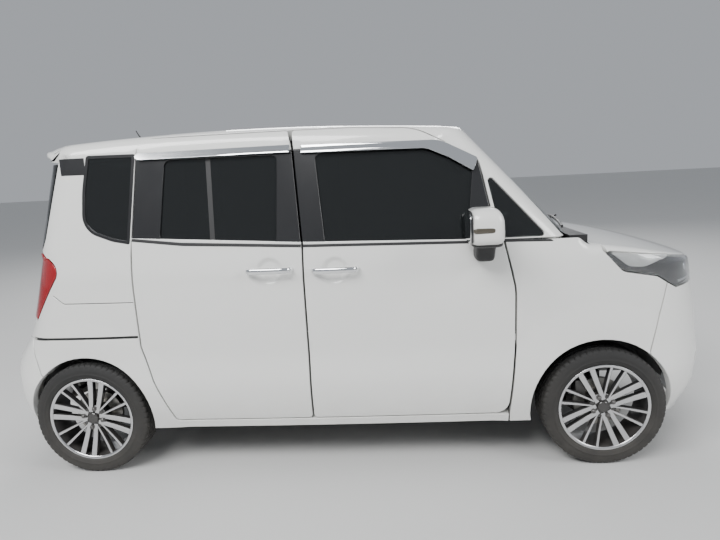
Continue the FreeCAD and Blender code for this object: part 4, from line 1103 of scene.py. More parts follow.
# %% Windscreen
SCREEN = rows_in("front", ((0.0, 1.116, 0), (-0.7, 1.116, 0.03), (-0.546, 1.6, 0.06), (0.0, 1.6, 0)))
screen_outline = span(nose_wall, SCREEN, 1)
dress("windscreen", panel(nose_wall, screen_outline, depth=0.006, roll=0.0015, sink=0.002, grid=0.05),
      GLASS_LIGHT, "chassis", ["windscreen"])
SCREEN_INNER = rows_in("front", ((0.0, 1.165, 0), (-0.65, 1.165, 0.04), (-0.517, 1.572, 0.06),
                                 (0.0, 1.572, 0)))
band_hole = span(nose_wall, SCREEN_INNER, 1)
screen_band = panel(nose_wall, screen_outline, [band_hole], depth=0.001, roll=0.0004, sink=0.0085)
dress("screen_band", screen_band, GLOSS_BLACK)

# %% [markdown]
# The tailgate is painted below its glass. The plate sits in a recess: a hole with a deeper panel.

# %% Tailgate
TAIL_GLASS = [("rear", 0.0, 1.152, 0), ("side", -1.5125, 1.152, 0.01), ("side", -1.4845, 1.19, 0.04),
              ("side", -1.4, 1.557, 0.03), ("rear", 0.0, 1.557, 0)]
tail_glass_outline = span(tail_wall, TAIL_GLASS, -1)
tail_pane = panel(tail_wall, tail_glass_outline, depth=0.005, roll=0.0015, sink=0.001, grid=0.05)
dress("tailgate_glass", tail_pane, GLASS_DARK, "hatch", ["tailgate_glass"])
TAILGATE = [("rear", 0.0, 0.712, 0), ("rear", -0.59, 0.712, 0.02), ("rear", -0.59, 0.822, 0.02),
            ("rear", -0.558, 1.122, 0.01), ("side", -1.556, 1.14, 0.004), ("side", -1.514, 1.144, 0),
            ("rear", 0.0, 1.147, 0)]
TAILGATE_PLATE = slot_rows("rear", 0.215, 0.795, 0.93, 0.02)
plate_hole = span(tail_wall, TAILGATE_PLATE, -1, 0.006)
tailgate = panel(tail_wall, span(tail_wall, TAILGATE, -1), [plate_hole], depth=0.03, roll=PRESSING_ROLL)
dress("tailgate", tailgate, PAINT, "hatch", ["tailgate"])
recess_outline = span(tail_wall, TAILGATE_PLATE, -1)
dress("plate_recess", panel(tail_wall, recess_outline, depth=0.002, roll=0.001, sink=0.028), PAINT, "hatch")

# %% [markdown]
# The tail lamps stand over the bumper's corners: a red lens 2 mm proud and a bright bowl.

# %% Rear bumper and tail lamps
REAR_BUMPER = ([("rear", 0.0, 0.23, 0), ("rear", -0.5, 0.232, 0.05), ("side", -1.69, 0.262, 0.04),
                ("side", -1.643, 0.248, 0)] + arch_rows(AXLE_REAR, REAR_ARCH, 187, 135, 10)
               + [("side", -1.562, 0.524, 0.02), ("side", -1.608, 0.705, 0), ("rear", -0.56, 0.705, 0),
                  ("rear", 0.0, 0.705, 0)])
rear_outline = span(tail_wall, REAR_BUMPER, -1)
dress("rear_bumper", panel(tail_wall, rear_outline, depth=0.03, roll=0.003), PAINT, "chassis",
      ["rear_bumper"])
TAIL_LAMP = [("side", -1.506, 1.131, 0.01), ("side", -1.392, 1.052, 0.05),
             ("side", -1.564, 0.803, 0.02), ("rear", -0.604, 0.832, 0.02), ("rear", -0.568, 1.117, 0.02)]
tail_lamp = drawn(tail_wall, TAIL_LAMP, 0.008)
lens = panel(tail_wall, tail_lamp, depth=0.006, roll=0.003, sink=-0.002)
back = panel(tail_wall, grown(tail_lamp, -0.004), depth=0.02, roll=0.002, sink=0.022)
pair("tail_lamp", lens, RED)
pair("tail_lamp_back", back, LAMP_INSIDE)
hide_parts("tail_lamps")

# %% [markdown]
# The front bumper has a slot, a wide intake and a recess for a fog lamp on each side.

# %% Front bumper
NOSE_SEAM = [("side", 1.4, 0.553, 0), ("side", 1.4785, 0.874, 0)]
FRONT_BUMPER = ([("front", 0.0, 0.205, 0), ("front", -0.52, 0.205, 0.05), ("side", 1.605, 0.213, 0.03),
                 ("side", 1.509, 0.224, 0)] + arch_rows(FRONT_ARCH_X, FRONT_ARCH, -9, 49, 12)
                + NOSE_SEAM + [("side", 1.53, 0.845, 0.02)]
                + rows_in("front", ((-0.7, 0.847, 0), (-0.562, 0.857, 0.05), (-0.427, 0.9, 0.02),
                                    (-0.43, 0.919, 0), (0.0, 0.919, 0))))
UPPER_SLOT = slot_rows("front", 0.39, 0.842, 0.88, 0.012)
INTAKE = rows_in("front", ((0.0, 0.33, 0), (-0.43, 0.33, 0.05), (-0.47, 0.52, 0.05), (0.0, 0.52, 0)))
FOG = ((-0.512, 0.35, 0.035), (-0.632, 0.362, 0.035), (-0.628, 0.492, 0.045), (-0.535, 0.5, 0.045))
slot_hole, intake_hole = span(nose_wall, UPPER_SLOT, 1, 0.006), span(nose_wall, INTAKE, 1)
fog_right = drawn(nose_wall, rows_in("front", FOG), 0.006)
total = middle_u(fog_right[:, 1], 1, False)
fog_left = np.stack([2 * total - fog_right[:, 0], fog_right[:, 1]], -1)[::-1]
bumper_outline = span(nose_wall, FRONT_BUMPER, 1)
dress("front_bumper", panel(nose_wall, bumper_outline, [slot_hole, intake_hole, fog_right, fog_left],
                                   depth=0.03, roll=0.004), PAINT, "chassis", ["front_bumper"])
dress("upper_grille", panel(nose_wall, slot_hole, depth=0.006, roll=0.002, sink=0.014), GLOSS_BLACK,
      "chassis", ["grille"])
dress("intake_back", panel(nose_wall, intake_hole, depth=0.01, roll=0.002, sink=0.05), MESH)

# %% [markdown]
# A headlamp's clear cover is a panel of the nose skin. Its dark bowl is the same outline, deeper.

# %% Headlamps
HEADLAMP = (
    side_rows(((1.176, 1.035, 0.01), (1.267, 0.945, 0.06), (1.425, 0.915, 0.06), (1.53, 0.851, 0.03)))
    + rows_in("front", ((-0.7, 0.853, 0), (-0.562, 0.863, 0.05), (-0.432, 0.906, 0.02), (-0.44, 0.946, 0.02),
                        (-0.7, 1.0, 0)))
    + side_rows(((1.47, 1.006, 0.03),)))
head_lamp = drawn(nose_skin, HEADLAMP, 0.008)
lens = panel(nose_skin, head_lamp, depth=0.004, roll=0.002)
bowl = panel(nose_skin, grown(head_lamp, -0.002), depth=0.03, roll=0.002, sink=0.013)
pair("headlamp", lens, GLASS_CLEAR)
pair("headlamp_bowl", bowl, GLOSS_BLACK)
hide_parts("headlamps")

# %% [markdown]
# The bonnet's side edge keeps 5 mm from the headlamp: it is the stretch of the lamp's outline
# between two corners. The front edge lies at one height.

# %% Bonnet
LAMP_INNER, LAMP_OUTER = [1.697, -0.431, 0.931], [1.181, -0.756, 1.037]
lamp_gap = grown(head_lamp, 0.005)
lamp_edge = nose_skin(*lamp_gap.T)
inner_end, outer_end = (int(np.argmin(np.linalg.norm(lamp_edge - corner, axis=1)))
                        for corner in (LAMP_INNER, LAMP_OUTER))
lamp_edge = np.roll(lamp_edge, -inner_end, 0)[: (outer_end - inner_end) % len(lamp_edge) + 1][::-1, :2]
nose_y = np.linspace(-0.42, 0.0, 14)[:-1]
nose_end = float(smooth_curve(BONNET_FRONT_Z, HEIGHTS, FRONT_ENDS))
nose_x = nose_end - NOSE_BOW + np.sqrt(NOSE_BOW**2 - nose_y**2)
bonnet_half = rounded([[1.134, -0.001], [1.134, -0.708], [1.169, -0.708]], [0, 0.01, 0])
bonnet_front = np.stack([nose_x, nose_y], -1)
bonnet_outline = filled(both_sides(np.concatenate([bonnet_half, lamp_edge, bonnet_front])), 0.012)
dress("bonnet", panel(bonnet_skin, bonnet_outline, depth=0.022, roll=PRESSING_ROLL, grid=0.02), PAINT,
      "hood", ["bonnet"])

# %% [markdown]
# ## Lofts
# Bars, tubes and boxes are lofts: equal rings of points, joined in turn and closed at the ends.

# %% Lofts and plain pieces
def strips(rings, count):
    """Corners a, b, c, d of every cell between neighbouring rings of points."""
    i = np.arange(rings - 1)[:, None] * count
    j = np.arange(count)[None]
    k = (j + 1) % count
    return i + j, i + k, i + count + k, i + count + j


def loft(sections):
    """Triangles over equal rings of points, with flat fans at both ends."""
    rings, count = len(sections), len(sections[0])
    points = np.concatenate(sections)
    a, b, c, d = strips(rings, count)
    tris = [np.stack([a, c, b], -1).reshape(-1, 3), np.stack([a, d, c], -1).reshape(-1, 3)]
    fan, last = np.arange(1, count - 1), (rings - 1) * count
    tris.append(np.stack([np.zeros_like(fan), fan, fan + 1], -1))
    tris.append(np.stack([np.full_like(fan, last), last + fan + 1, last + fan], -1))
    return points, np.concatenate(tris)


def welded(points, tris):
    """The same surface with points that coincide made one, so that seams and poles are closed."""
    _, first, same = np.unique(np.round(points, 6), axis=0, return_index=True, return_inverse=True)
    tris = same.reshape(-1)[tris]
    whole = (tris != np.roll(tris, 1, 1)).all(1)
    return points[first], tris[whole]


def shape(name, arrays, material, body="chassis", nodes=(), slot=None, crease=35.0):
    """A piece whose shading breaks at edges sharper than an angle."""
    obj = place(name, *welded(*arrays))
    obj.data.set_sharp_from_angle(angle=math.radians(crease))
    return finished(obj, material, body, nodes)


print("a loft of 3 rings of 8 points has", len(loft(np.zeros((3, 8, 3)))[1]), "triangles")

# %% [markdown]
# ## Spoiler and roof end
# The tailgate ends above its glass in a painted lip that carries the roof line on. It is a loft:
# one section in the long direction is repeated across the car, and its tip follows a rounded
# plan, so that the roof seems to flow round the corners.

# %% Tailgate header with its lip
LIP_LENGTH, LIP_HALF, LIP_START = 0.19, 0.592, -1.3965


def lip_section(y):
    """One long section of the tailgate header: roof line, rounded tip, underside, glass edge.

    The lip reaches back by length * sqrt(1 - (y / half)^3), which rounds its corners in plan."""
    reach = LIP_LENGTH * np.sqrt(max(1 - (abs(y) / LIP_HALF) ** 3, 0.0)) + 0.012
    tip, start = -1.402 - reach, LIP_START
    top = roof_top(start, y) - 0.0005
    drop = np.clip((abs(y) - 0.5) / 0.092, 0, 1) ** 2 * 0.018
    share = np.linspace(0, 1, 8)[:-1]
    upper = np.stack([start + (tip + 0.018 - start) * share, top - drop - 0.03 * share**2], -1)
    angles = np.radians(np.linspace(75, -90, 7))
    centre = np.array([tip + 0.016, upper[-1, 1] - 0.019])
    nose = centre + 0.016 * np.stack([-np.cos(angles), np.sin(angles)], -1)
    glass_x = -1.59 + 0.194 * (1.575 - BELT) + (REAR_BOW - math.sqrt(REAR_BOW**2 - y * y))
    foot = [[min(glass_x - 0.004, -1.412), 1.574], [min(glass_x + 0.03, -1.396), 1.566], [start, 1.575]]
    flat = np.concatenate([upper, nose, np.array(foot)])
    return np.stack([flat[:, 0], np.full(len(flat), y), flat[:, 1]], -1)


spread = np.sin(np.linspace(-math.pi / 2, math.pi / 2, 41)) * 0.5775
shape("tailgate_lip", loft([lip_section(y) for y in spread]), PAINT, "hatch", (), "paint")

# %% [markdown]
# ## Wheels
# A tyre and a rim are turned profiles. The rim has eight pairs of spokes, four broad and four
# slim. Their faces are cut on a lathe after painting, so the faces are bright and the flanks
# stay dark. The tread has four grooves and a row of slots in each shoulder.

# %% Turned parts
def joined(*parts):
    """Several point and triangle pairs as one."""
    points, tris, base = [], [], 0
    for p, t in parts:
        points.append(p)
        tris.append(t + base)
        base += len(p)
    return np.concatenate(points), np.concatenate(tris)


def turned(runs, around=96):
    """Surfaces of revolution about Y from smooth (r, y) runs: x = r cos a, z = r sin a."""
    angle = np.linspace(0, 2 * math.pi, around, endpoint=False)
    parts = []
    for run in runs:
        r, y = np.asarray(run, float).T[:, :, None]
        ring = np.stack([r * np.cos(angle), np.repeat(y, around, 1), r * np.sin(angle)], -1)
        a, b, c, d = strips(len(run), around)
        parts.append((ring.reshape(-1, 3), np.concatenate([np.stack(corners, -1).reshape(-1, 3)
                                                           for corners in ([a, b, c], [a, c, d])])))
    return joined(*parts)


def arc_run(centre, radius, start, stop, steps=6):
    """Points of a profile along an arc, angles in degrees from outward r."""
    a = np.radians(np.linspace(start, stop, steps))
    return [[centre[0] + radius * math.cos(t), centre[1] + radius * math.sin(t)] for t in a]


def flipped(arrays):
    """The same surface seen from its other side."""
    return arrays[0], arrays[1][:, ::-1]


print("a turned ring has", len(turned([[[1, 0], [1, 1]]], 12)[1]), "triangles")

# %% [markdown]
# Slots are cut in the tyre by pulling every sixth column of points inwards.

# %% Tyre
TYRE_RADIUS, BEAD = 0.288, 0.2045
GROOVE_WALL, GROOVE_SLOPE, GROOVE_MIDDLE = (0.2876, 0.0052), (0.2812, 0.0038), 0.2808
COLUMNS_PER_SLOT = 6


def tyre_arrays(around=360):
    """The tyre: rounded shoulders, four grooves, slots in the shoulders and fine rings on the walls."""
    wall_run = [[BEAD, -0.07], [0.212, -0.0815], [0.2165, -0.0865], [0.219, -0.0905], [0.222, -0.0915],
                [0.23, -0.0935], [0.2345, -0.0944], [0.2355, -0.0952], [0.2405, -0.0952], [0.2415, -0.0944],
                [0.25, -0.0945], [0.262, -0.0925], [0.27, -0.089]]
    shoulder = arc_run((0.2685, -0.07), 0.019, -68, -6, 7)
    tread = []
    for groove in (-0.048, -0.016, 0.016, 0.048):
        (high, wide), (low, narrow) = GROOVE_WALL, GROOVE_SLOPE
        tread += [[high, groove - wide], [low, groove - narrow], [GROOVE_MIDDLE, groove],
                  [low, groove + narrow], [high, groove + wide]]
        if groove < 0.04:
            tread.append([TYRE_RADIUS, groove + 0.016])
    half = wall_run + shoulder + [[TYRE_RADIUS - 0.0004, -0.062]]
    profile = np.array(half + tread + [[r, -y] for r, y in half[::-1]])
    points, tris = turned([profile[::-1]], around)
    rows = points.reshape(len(profile), around, 3)
    r, y = profile[::-1][:, 0], np.abs(profile[::-1][:, 1])
    column = np.arange(around)[None] % COLUMNS_PER_SLOT
    slot = (column == 0) & ((y > 0.054) & (y < 0.089) & (r > 0.27))[:, None]
    thin = (column == 3) & ((y < 0.045) & (r > 0.2875))[:, None]
    scale = 1 - 0.0165 * slot - 0.009 * thin
    rows = rows * np.stack([scale, np.ones_like(scale), scale], -1)
    lining = [[BEAD, 0.07], [0.26, 0.08], [0.27, 0.0], [0.26, -0.08], [BEAD, -0.07]]
    return joined((rows.reshape(-1, 3), tris), flipped(turned([lining], around)))


tyre = tyre_arrays()
print("tyre", len(tyre[1]), "triangles")

# %% [markdown]
# A spoke is a loft from hub to rim. Spokes come in parallel pairs, four pairs of each kind.

# %% Spokes
SPOKE_BEVEL, SPOKE_DIP, SPOKE_END = 0.0018, 0.004, 0.1985


def bar_between(inner, outer, inner_width, outer_width, face_in, face_out, depth, steps=10):
    """A spoke: sections of six points with small bevels along a line from hub to rim.

    The face is face(t) = mix(face_in, face_out, t) + dip * sin(pi t)."""
    inner, outer = np.asarray(inner, float), np.asarray(outer, float)
    along = (outer - inner) / np.linalg.norm(outer - inner)
    side = np.array([-along[1], along[0]])
    sections = []
    for t in np.linspace(0, 1, steps):
        middle = inner + (outer - inner) * t
        half = 0.5 * (inner_width + (outer_width - inner_width) * t)
        front = face_in + (face_out - face_in) * t + SPOKE_DIP * math.sin(math.pi * t)
        bevel, back = SPOKE_BEVEL, half * 0.86
        rim = [(-half + bevel, front), (half - bevel, front), (half, front + bevel), (back, front + depth),
               (-back, front + depth), (-half, front + bevel)]
        sections.append(np.array([[middle[0] + side[0] * o, y, middle[1] + side[1] * o] for o, y in rim]))
    return loft(sections)


def spoke_set(start, offset_in, offset_out, width_in, width_out, reach_in, face_in, face_out, depth):
    """Four pairs of parallel spokes, a quarter turn apart, from an angle seen from outside."""
    bars = []
    for quarter in range(4):
        a = math.radians(start + 90 * quarter)
        ray, across_ray = np.array([math.cos(a), math.sin(a)]), np.array([-math.sin(a), math.cos(a)])
        for side in (-1, 1):
            inner = ray * reach_in + across_ray * side * offset_in
            outer = ray * SPOKE_END + across_ray * side * offset_out
            bars.append(bar_between(inner, outer, width_in, width_out, face_in, face_out, depth))
    return joined(*bars)


def two_tone(obj, bright, dark, side, limit=0.8):
    """Faces that look straight outwards get the bright finish and the flanks the dark one."""
    obj.data.materials.clear()
    obj.data.materials.append(dark)
    obj.data.materials.append(bright)
    normals = np.empty(len(obj.data.polygons) * 3, np.float32)
    obj.data.polygons.foreach_get("normal", normals)
    chosen = (side * normals.reshape(-1, 3)[:, 1] > limit).astype(np.int32)
    obj.data.polygons.foreach_set("material_index", chosen)


def moved(arrays, x, side):
    """A wheel piece from its own axis to its axle, mirrored for the left side."""
    points, tris = arrays
    points = points * [1, -side, 1] + [x, side * WHEEL_PLANE, AXLE_HEIGHT]
    return points, (tris if side < 0 else tris[:, ::-1])


print("spokes end", SPOKE_END, "m from the axle")

# %% [markdown]
# The barrel, its bright edge, the hub and the disc are profiles (r, y). Outwards is negative y.

# %% Profiles of the rim
RIM_LIP, NUT_CIRCLE = 0.215, 0.05
lip_runs = [arc_run((RIM_LIP - 0.0028, -0.0855), 0.0028, 60, -90, 6) + [[0.204, -0.0872], [0.201, -0.084]],
            [[0.201, -0.084], [0.1985, -0.072], [0.196, -0.045], [0.193, 0.055], [0.2, 0.07],
             [RIM_LIP - 0.004, 0.08], [RIM_LIP, 0.084]],
            [[RIM_LIP, 0.084], [BEAD + 0.002, 0.07], [BEAD, -0.07], [RIM_LIP, -0.083]]]
hub_runs = [[[0.0, -0.0735], [0.024, -0.0735], [0.0262, -0.0715], [0.0262, -0.064]],
            [[0.0265, -0.064], [0.034, -0.065], [0.056, -0.064], [0.062, -0.061], [0.066, -0.056],
             [0.066, -0.038]],
            [[0.066, -0.038], [0.03, -0.038], [0.03, 0.06], [0.0, 0.06]]]
disc_runs = [[[0.074, -0.018], [0.074, 0.0]], [[0.0, -0.018], [0.074, -0.018]],
             [[0.074, 0.0], [0.119, 0.0], [0.12, 0.001], [0.12, 0.017], [0.119, 0.018],
              [0.07, 0.018]],
             [[0.07, 0.018], [0.03, 0.018]]]


def lug_nuts(start):
    """Four round nuts on their seats, in line with the broad spokes."""
    nuts = []
    for quarter in range(4):
        a = math.radians(start + 90 * quarter)
        nut = turned([[[0.0, -0.081], [0.0055, -0.0805], [0.0085, -0.078]],
                      [[0.0085, -0.078], [0.0095, -0.068]],
                      [[0.0095, -0.07], [0.0125, -0.0696], [0.013, -0.068]]], 18)
        nuts.append((nut[0] + [NUT_CIRCLE * math.cos(a), 0, NUT_CIRCLE * math.sin(a)], nut[1][:, ::-1]))
    return joined(*nuts)


print("wheel nuts", len(lug_nuts(0)[1]), "triangles")

# %% [markdown]
# Four equal wheels. Each axle has the starting angle that its wheels have in the photograph.

# %% Wheels
BROAD = (0.016, 0.029, 0.0215, 0.0285, 0.03, -0.068, -0.083, 0.03)
SLIM = (0.01, 0.034, 0.0095, 0.015, 0.036, -0.067, -0.083, 0.03)
SLIM_AFTER = 46
barrel, edge = turned(lip_runs[1:]), turned(lip_runs[:1])
hub, disc = flipped(turned(hub_runs)), flipped(turned(disc_runs, 72))
for axle, x, turn in (("front", AXLE_FRONT, 26.0), ("rear", AXLE_REAR, 77.0)):
    for side_name, side in (("right", -1), ("left", 1)):
        body = "wheel_" + axle + "_" + side_name
        tag = "_" + axle + "_" + side_name
        shape("tyre" + tag, moved(tyre, x, side), RUBBER, body, ["tyre" + tag], "tyre", 50)
        spokes = joined(spoke_set(turn, *BROAD), spoke_set(turn + SLIM_AFTER, *SLIM))
        rim = shape("spokes" + tag, moved(spokes, x, side), ALLOY_DARK, body, ["rim" + tag], "alloy", 20)
        two_tone(rim, MACHINED, ALLOY_DARK, side)
        shape("rim_barrel" + tag, moved(barrel, x, side), ALLOY_DARK, body, (), "alloy", 40)
        shape("rim_edge" + tag, moved(edge, x, side), MACHINED, body, (), "alloy", 60)
        shape("rim_hub" + tag, moved(hub, x, side), GLOSS_BLACK, body, (), "alloy", 40)
        shape("lug_nuts" + tag, moved(lug_nuts(turn), x, side), CAST, body, (), None, 40)
        shape("brake_disc" + tag, moved(disc, x, side), STEEL, body, (), None, 40)

# %% [markdown]
# ## Trim on the sides
# Small pieces tell the eye the scale of a car. Rain visors stand off the side above the windows,
# a belt strip closes the gap along the bottom of the glass, and a black panel behind the quarter
# glass makes the roof look as if it floats.

# %% Visors over the side windows
VISOR_OFF, VISOR_SLOPE, VISOR_DROP, STRIP_OFF = 0.0035, 0.4, 0.034, 0.003


def visor_edge(x):
    """Height of the visors' upper edge along the car."""
    return np.interp(x, [-0.195, -0.19, 0.46, 0.626, 0.64], [1.59, 1.584, 1.575, 1.485, 1.47])


def visor_skin(u, v):
    """The side, pushed outwards below the visor's upper edge: first + slope * drop, up to a limit."""
    p = side_skin(u, v)
    drop = np.clip(visor_edge(p[..., 0]) - p[..., 2], 0, VISOR_DROP)
    p[..., 1] -= VISOR_OFF + VISOR_SLOPE * drop
    return p


FRONT_VISOR = ((-0.189, 1.5855, 0.002), (0.455, 1.5765, 0.16), (0.627, 1.487, 0.006), (0.602, 1.428, 0.006),
               (0.493, 1.494, 0.1), (0.39, 1.541, 0.12), (-0.19, 1.548, 0.002))
REAR_VISOR = ((-0.242, 1.59, 0.002), (-0.985, 1.588, 0.03), (-0.998, 1.571, 0.01), (-0.975, 1.556, 0.012),
              (-0.242, 1.554, 0.002))
for end, table, bodies in (("front", FRONT_VISOR, FRONT_BODIES), ("rear", REAR_VISOR, REAR_BODIES)):
    visor = side_panel(table, depth=0.0036, roll=0.0012, skin=visor_skin, grid=0.012)
    pair(end + "_visor", visor, CHROME, bodies)

# %% [markdown]
# The belt strips stand 3 mm off the side. A black band joins the quarter window to the tail.

# %% Belt strips and dark bands
def strip_skin(u, v):
    """The side moved outwards by a constant, for strips that stand off it."""
    p = side_skin(u, v)
    p[..., 1] -= STRIP_OFF
    return p


FRONT_BELT = ((-0.1965, 1.114, 0.001), (0.702, 1.0975, 0.001), (0.699, 1.111, 0.001),
              (-0.1965, 1.1285, 0.001))
REAR_BELT = ((-0.2055, 1.115, 0.001), (-0.2055, 1.13, 0.001), (-0.78, 1.16, 0.2),
             (-1.0225, 1.188, 0.001), (-1.0235, 1.1725, 0.001), (-0.78, 1.144, 0.2))
WING_BELT = ((0.716, 1.099, 0.001), (0.96, 1.0935, 0.003), (0.94, 1.104, 0.003), (0.715, 1.113, 0.001))
for end, table, bodies in (("front", FRONT_BELT, FRONT_BODIES), ("rear", REAR_BELT, REAR_BODIES),
                           ("wing", WING_BELT, FIXED)):
    pair(end + "_belt", side_panel(table, depth=0.004, roll=0.0025, skin=strip_skin), TRIM, bodies)
quarter_ring = drawn(whole_side, side_rows(QUARTER_WINDOW), 0.008)
quarter_frame = panel(whole_side, grown(quarter_ring, 0.004), [grown(quarter_ring, -0.012)],
                      depth=0.006, roll=0.0012, sink=-0.0012)
pair("quarter_frame", quarter_frame, GLOSS_BLACK)
PILLAR_BAND = ((-1.246, 1.498, 0.004), (-1.252, 1.58, 0.004), (-1.386, 1.58, 0.002), (-1.371, 1.498, 0.002))
pillar_band = drawn(whole_side, side_rows(PILLAR_BAND), 0.008)
pair("pillar_band", panel(whole_side, pillar_band, depth=0.004, roll=0.0012, sink=-0.0016), GLOSS_BLACK)
REAR_DIVIDER = ((-0.64, 1.132, 0.002), (-0.616, 1.13, 0.002), (-0.628, 1.552, 0.002),
                (-0.652, 1.552, 0.002))
pair("glass_divider", side_panel(REAR_DIVIDER, depth=0.004, roll=0.001, sink=0.0085), TRIM, REAR_BODIES)
RAIL_BACK = ((-1.602, 0.696, 0.002), (-1.034, 0.696, 0.002), (-1.034, 0.717, 0.002), (-1.602, 0.717, 0.002))
SEAM_BACK = ((-1.446, 0.934, 0), (-1.388, 0.889, 0.02), (-1.0345, 0.887, 0), (-1.0345, 0.875, 0),
             (-1.39, 0.877, 0.02), (-1.449, 0.921, 0))
for name, table, sink in (("rail_slot_back", RAIL_BACK, 0.014), ("quarter_seam_back", SEAM_BACK, 0.006)):
    pair(name, side_panel(table, skin=whole_side, depth=0.004, roll=0.001, sink=sink), MESH)

# %% [markdown]
# ## Handles, mirrors and rods
# A tube is a ring of points carried along a path. Each ring stands square to the path. One
# function makes handles, the antenna, wiper arms and springs.

# %% Tubes and door handles
def tube(path, radii, around=14, flat=1.0, up=(0.0, 0.0, 1.0)):
    """A closed tube along a path: ring = centre + r (cos a * side + flat * sin a * upwards)."""
    path = np.asarray(path, float)
    radii = np.broadcast_to(np.asarray(radii, float), (len(path),))
    ahead = np.gradient(path, axis=0)
    ahead /= np.linalg.norm(ahead, axis=1, keepdims=True)
    side = np.cross(ahead, np.asarray(up, float))
    side /= np.linalg.norm(side, axis=1, keepdims=True)
    above = np.cross(side, ahead)
    angle = np.linspace(0, 2 * math.pi, around, endpoint=False)
    rings = [c + r * (np.cos(angle)[:, None] * a + flat * np.sin(angle)[:, None] * b)
             for c, r, a, b in zip(path, radii, side, above)]
    return loft(rings)


def both(name, arrays, material, bodies, crease=35.0, slot=None):
    """A plain piece on the right and its mirror on the left."""
    points, tris = arrays
    shape(name + "_right", (points, tris), material, bodies[0], (), slot, crease)
    shape(name + "_left", (points * [1, -1, 1], tris[:, ::-1]), material, bodies[1], (), slot, crease)


def handle_arrays(start, z):
    """A bar that leaves the door, runs along it and comes back."""
    share = np.array([0.0, 0.02, 0.06, 0.12, 0.25, 0.5, 0.75, 0.88, 0.94, 0.98, 1.0])
    out = np.array([0.0, 0.55, 0.82, 0.96, 1.0, 1.02, 1.0, 0.96, 0.82, 0.55, 0.0])
    path = np.stack([start + share * HANDLE_LENGTH, -0.775 - 0.0465 * out, np.full(len(share), z)], -1)
    return tube(path, 0.0072, 18, 1.9)


for place_name, bodies in (("front", FRONT_BODIES), ("rear", REAR_BODIES)):
    both(place_name + "_handle", handle_arrays(*HANDLE_START[place_name]), CHROME, bodies, 50)

# %% [markdown]
# A mirror is a few rounded boxes. Its painted shell is flat behind and tapers upwards.

# %% Mirrors
def rounded_box(centre, half, power, steps=28):
    """A superellipsoid: |x|^n + |y|^n + |z|^n = 1, with n from soft to boxy."""
    a = np.linspace(-math.pi, math.pi, 2 * steps, endpoint=False)
    b = np.linspace(-math.pi / 2, math.pi / 2, steps)[1:-1]
    e = 2.0 / power

    def bend(t):
        return np.sign(t) * np.abs(t) ** e

    ring = np.stack([bend(np.cos(b))[:, None] * bend(np.cos(a)), bend(np.cos(b))[:, None] * bend(np.sin(a)),
                     np.repeat(bend(np.sin(b))[:, None], len(a), 1)], -1)
    points, tris = loft(list(ring * np.asarray(half) + np.asarray(centre)))
    return points, tris[:, ::-1]


MIRROR_CENTRE, MIRROR_HALF, MIRROR_BACK = (0.622, -0.9, 1.192), (0.074, 0.106, 0.08), 0.554
housing = rounded_box(MIRROR_CENTRE, MIRROR_HALF, 4.6)
p = housing[0]
upper = np.clip((p[:, 2] - MIRROR_CENTRE[2]) / MIRROR_HALF[2], 0, 1) ** 2
ahead = p[:, 0] - MIRROR_CENTRE[0]
p[:, 0] = np.where(ahead > 0, MIRROR_CENTRE[0] + ahead * (1 - 0.3 * upper), p[:, 0])
p[:, 0] = np.maximum(p[:, 0], MIRROR_BACK)
p[:, 1] += 0.02 * upper * np.clip((-p[:, 1] - 0.9) / 0.1, 0, 1)
both("mirror_housing", housing, PAINT, FRONT_BODIES, 40, "paint")
for side_name in ("right", "left"):
    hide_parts("mirror_" + side_name)
MIRROR_PARTS = (("bezel", (0.5545, -0.9, 1.19), (0.006, 0.098, 0.07), 5.0, GLOSS_BLACK),
                ("face", (0.55, -0.9, 1.19), (0.0035, 0.09, 0.062), 5.0, MIRROR),
                ("base", (0.626, -0.888, 1.12), (0.066, 0.096, 0.018), 4.0, TRIM),
                ("signal", (0.606, -0.9985, 1.18), (0.046, 0.009, 0.0125), 4.0, SMOKED))
for label, centre, half, power, material in MIRROR_PARTS:
    both("mirror_" + label, rounded_box(centre, half, power), material, FRONT_BODIES, 50)
foot = rounded_box((0.632, -0.8, 1.082), (0.044, 0.062, 0.058), 4.5)
foot[0][:, 1] -= 0.045 * np.clip((foot[0][:, 2] - 1.06) / 0.06, 0, 1)
both("mirror_foot", foot, TRIM, FRONT_BODIES, 50)

# %% [markdown]
# ## Inside the lamps
# A headlamp is a clear cover over a dark bowl. Behind it sit a painted wedge, a projector lens
# and a row of small reflectors. Each round piece is turned about an axis and then aimed along
# the skin's own normal, so that it fits the curve of the nose.

# %% Inside the headlamps
def skin_frame(surface, view, target, depth):
    """A point under the skin that a view shows at a target, with the skin's normal there."""
    uv = locate(surface, view, np.array([target], float))
    normal = slopes_of(surface, uv[:, 0], uv[:, 1])[0]
    return surface(uv[:, 0], uv[:, 1])[0] - normal * depth, normal


def aimed(arrays, centre, normal):
    """Turned pieces look towards -Y. This turns them to look along a normal, about a centre."""
    way = Vector((0.0, -1.0, 0.0)).rotation_difference(Vector(normal)).to_matrix()
    return arrays[0] @ np.array(way).T + centre, arrays[1]


def inlay(name, surface, rows, material, step=0.008, slot=None, **sizes):
    """A pair of small panels in a surface or on it."""
    pair(name, panel(surface, drawn(surface, rows, step), **sizes), material)


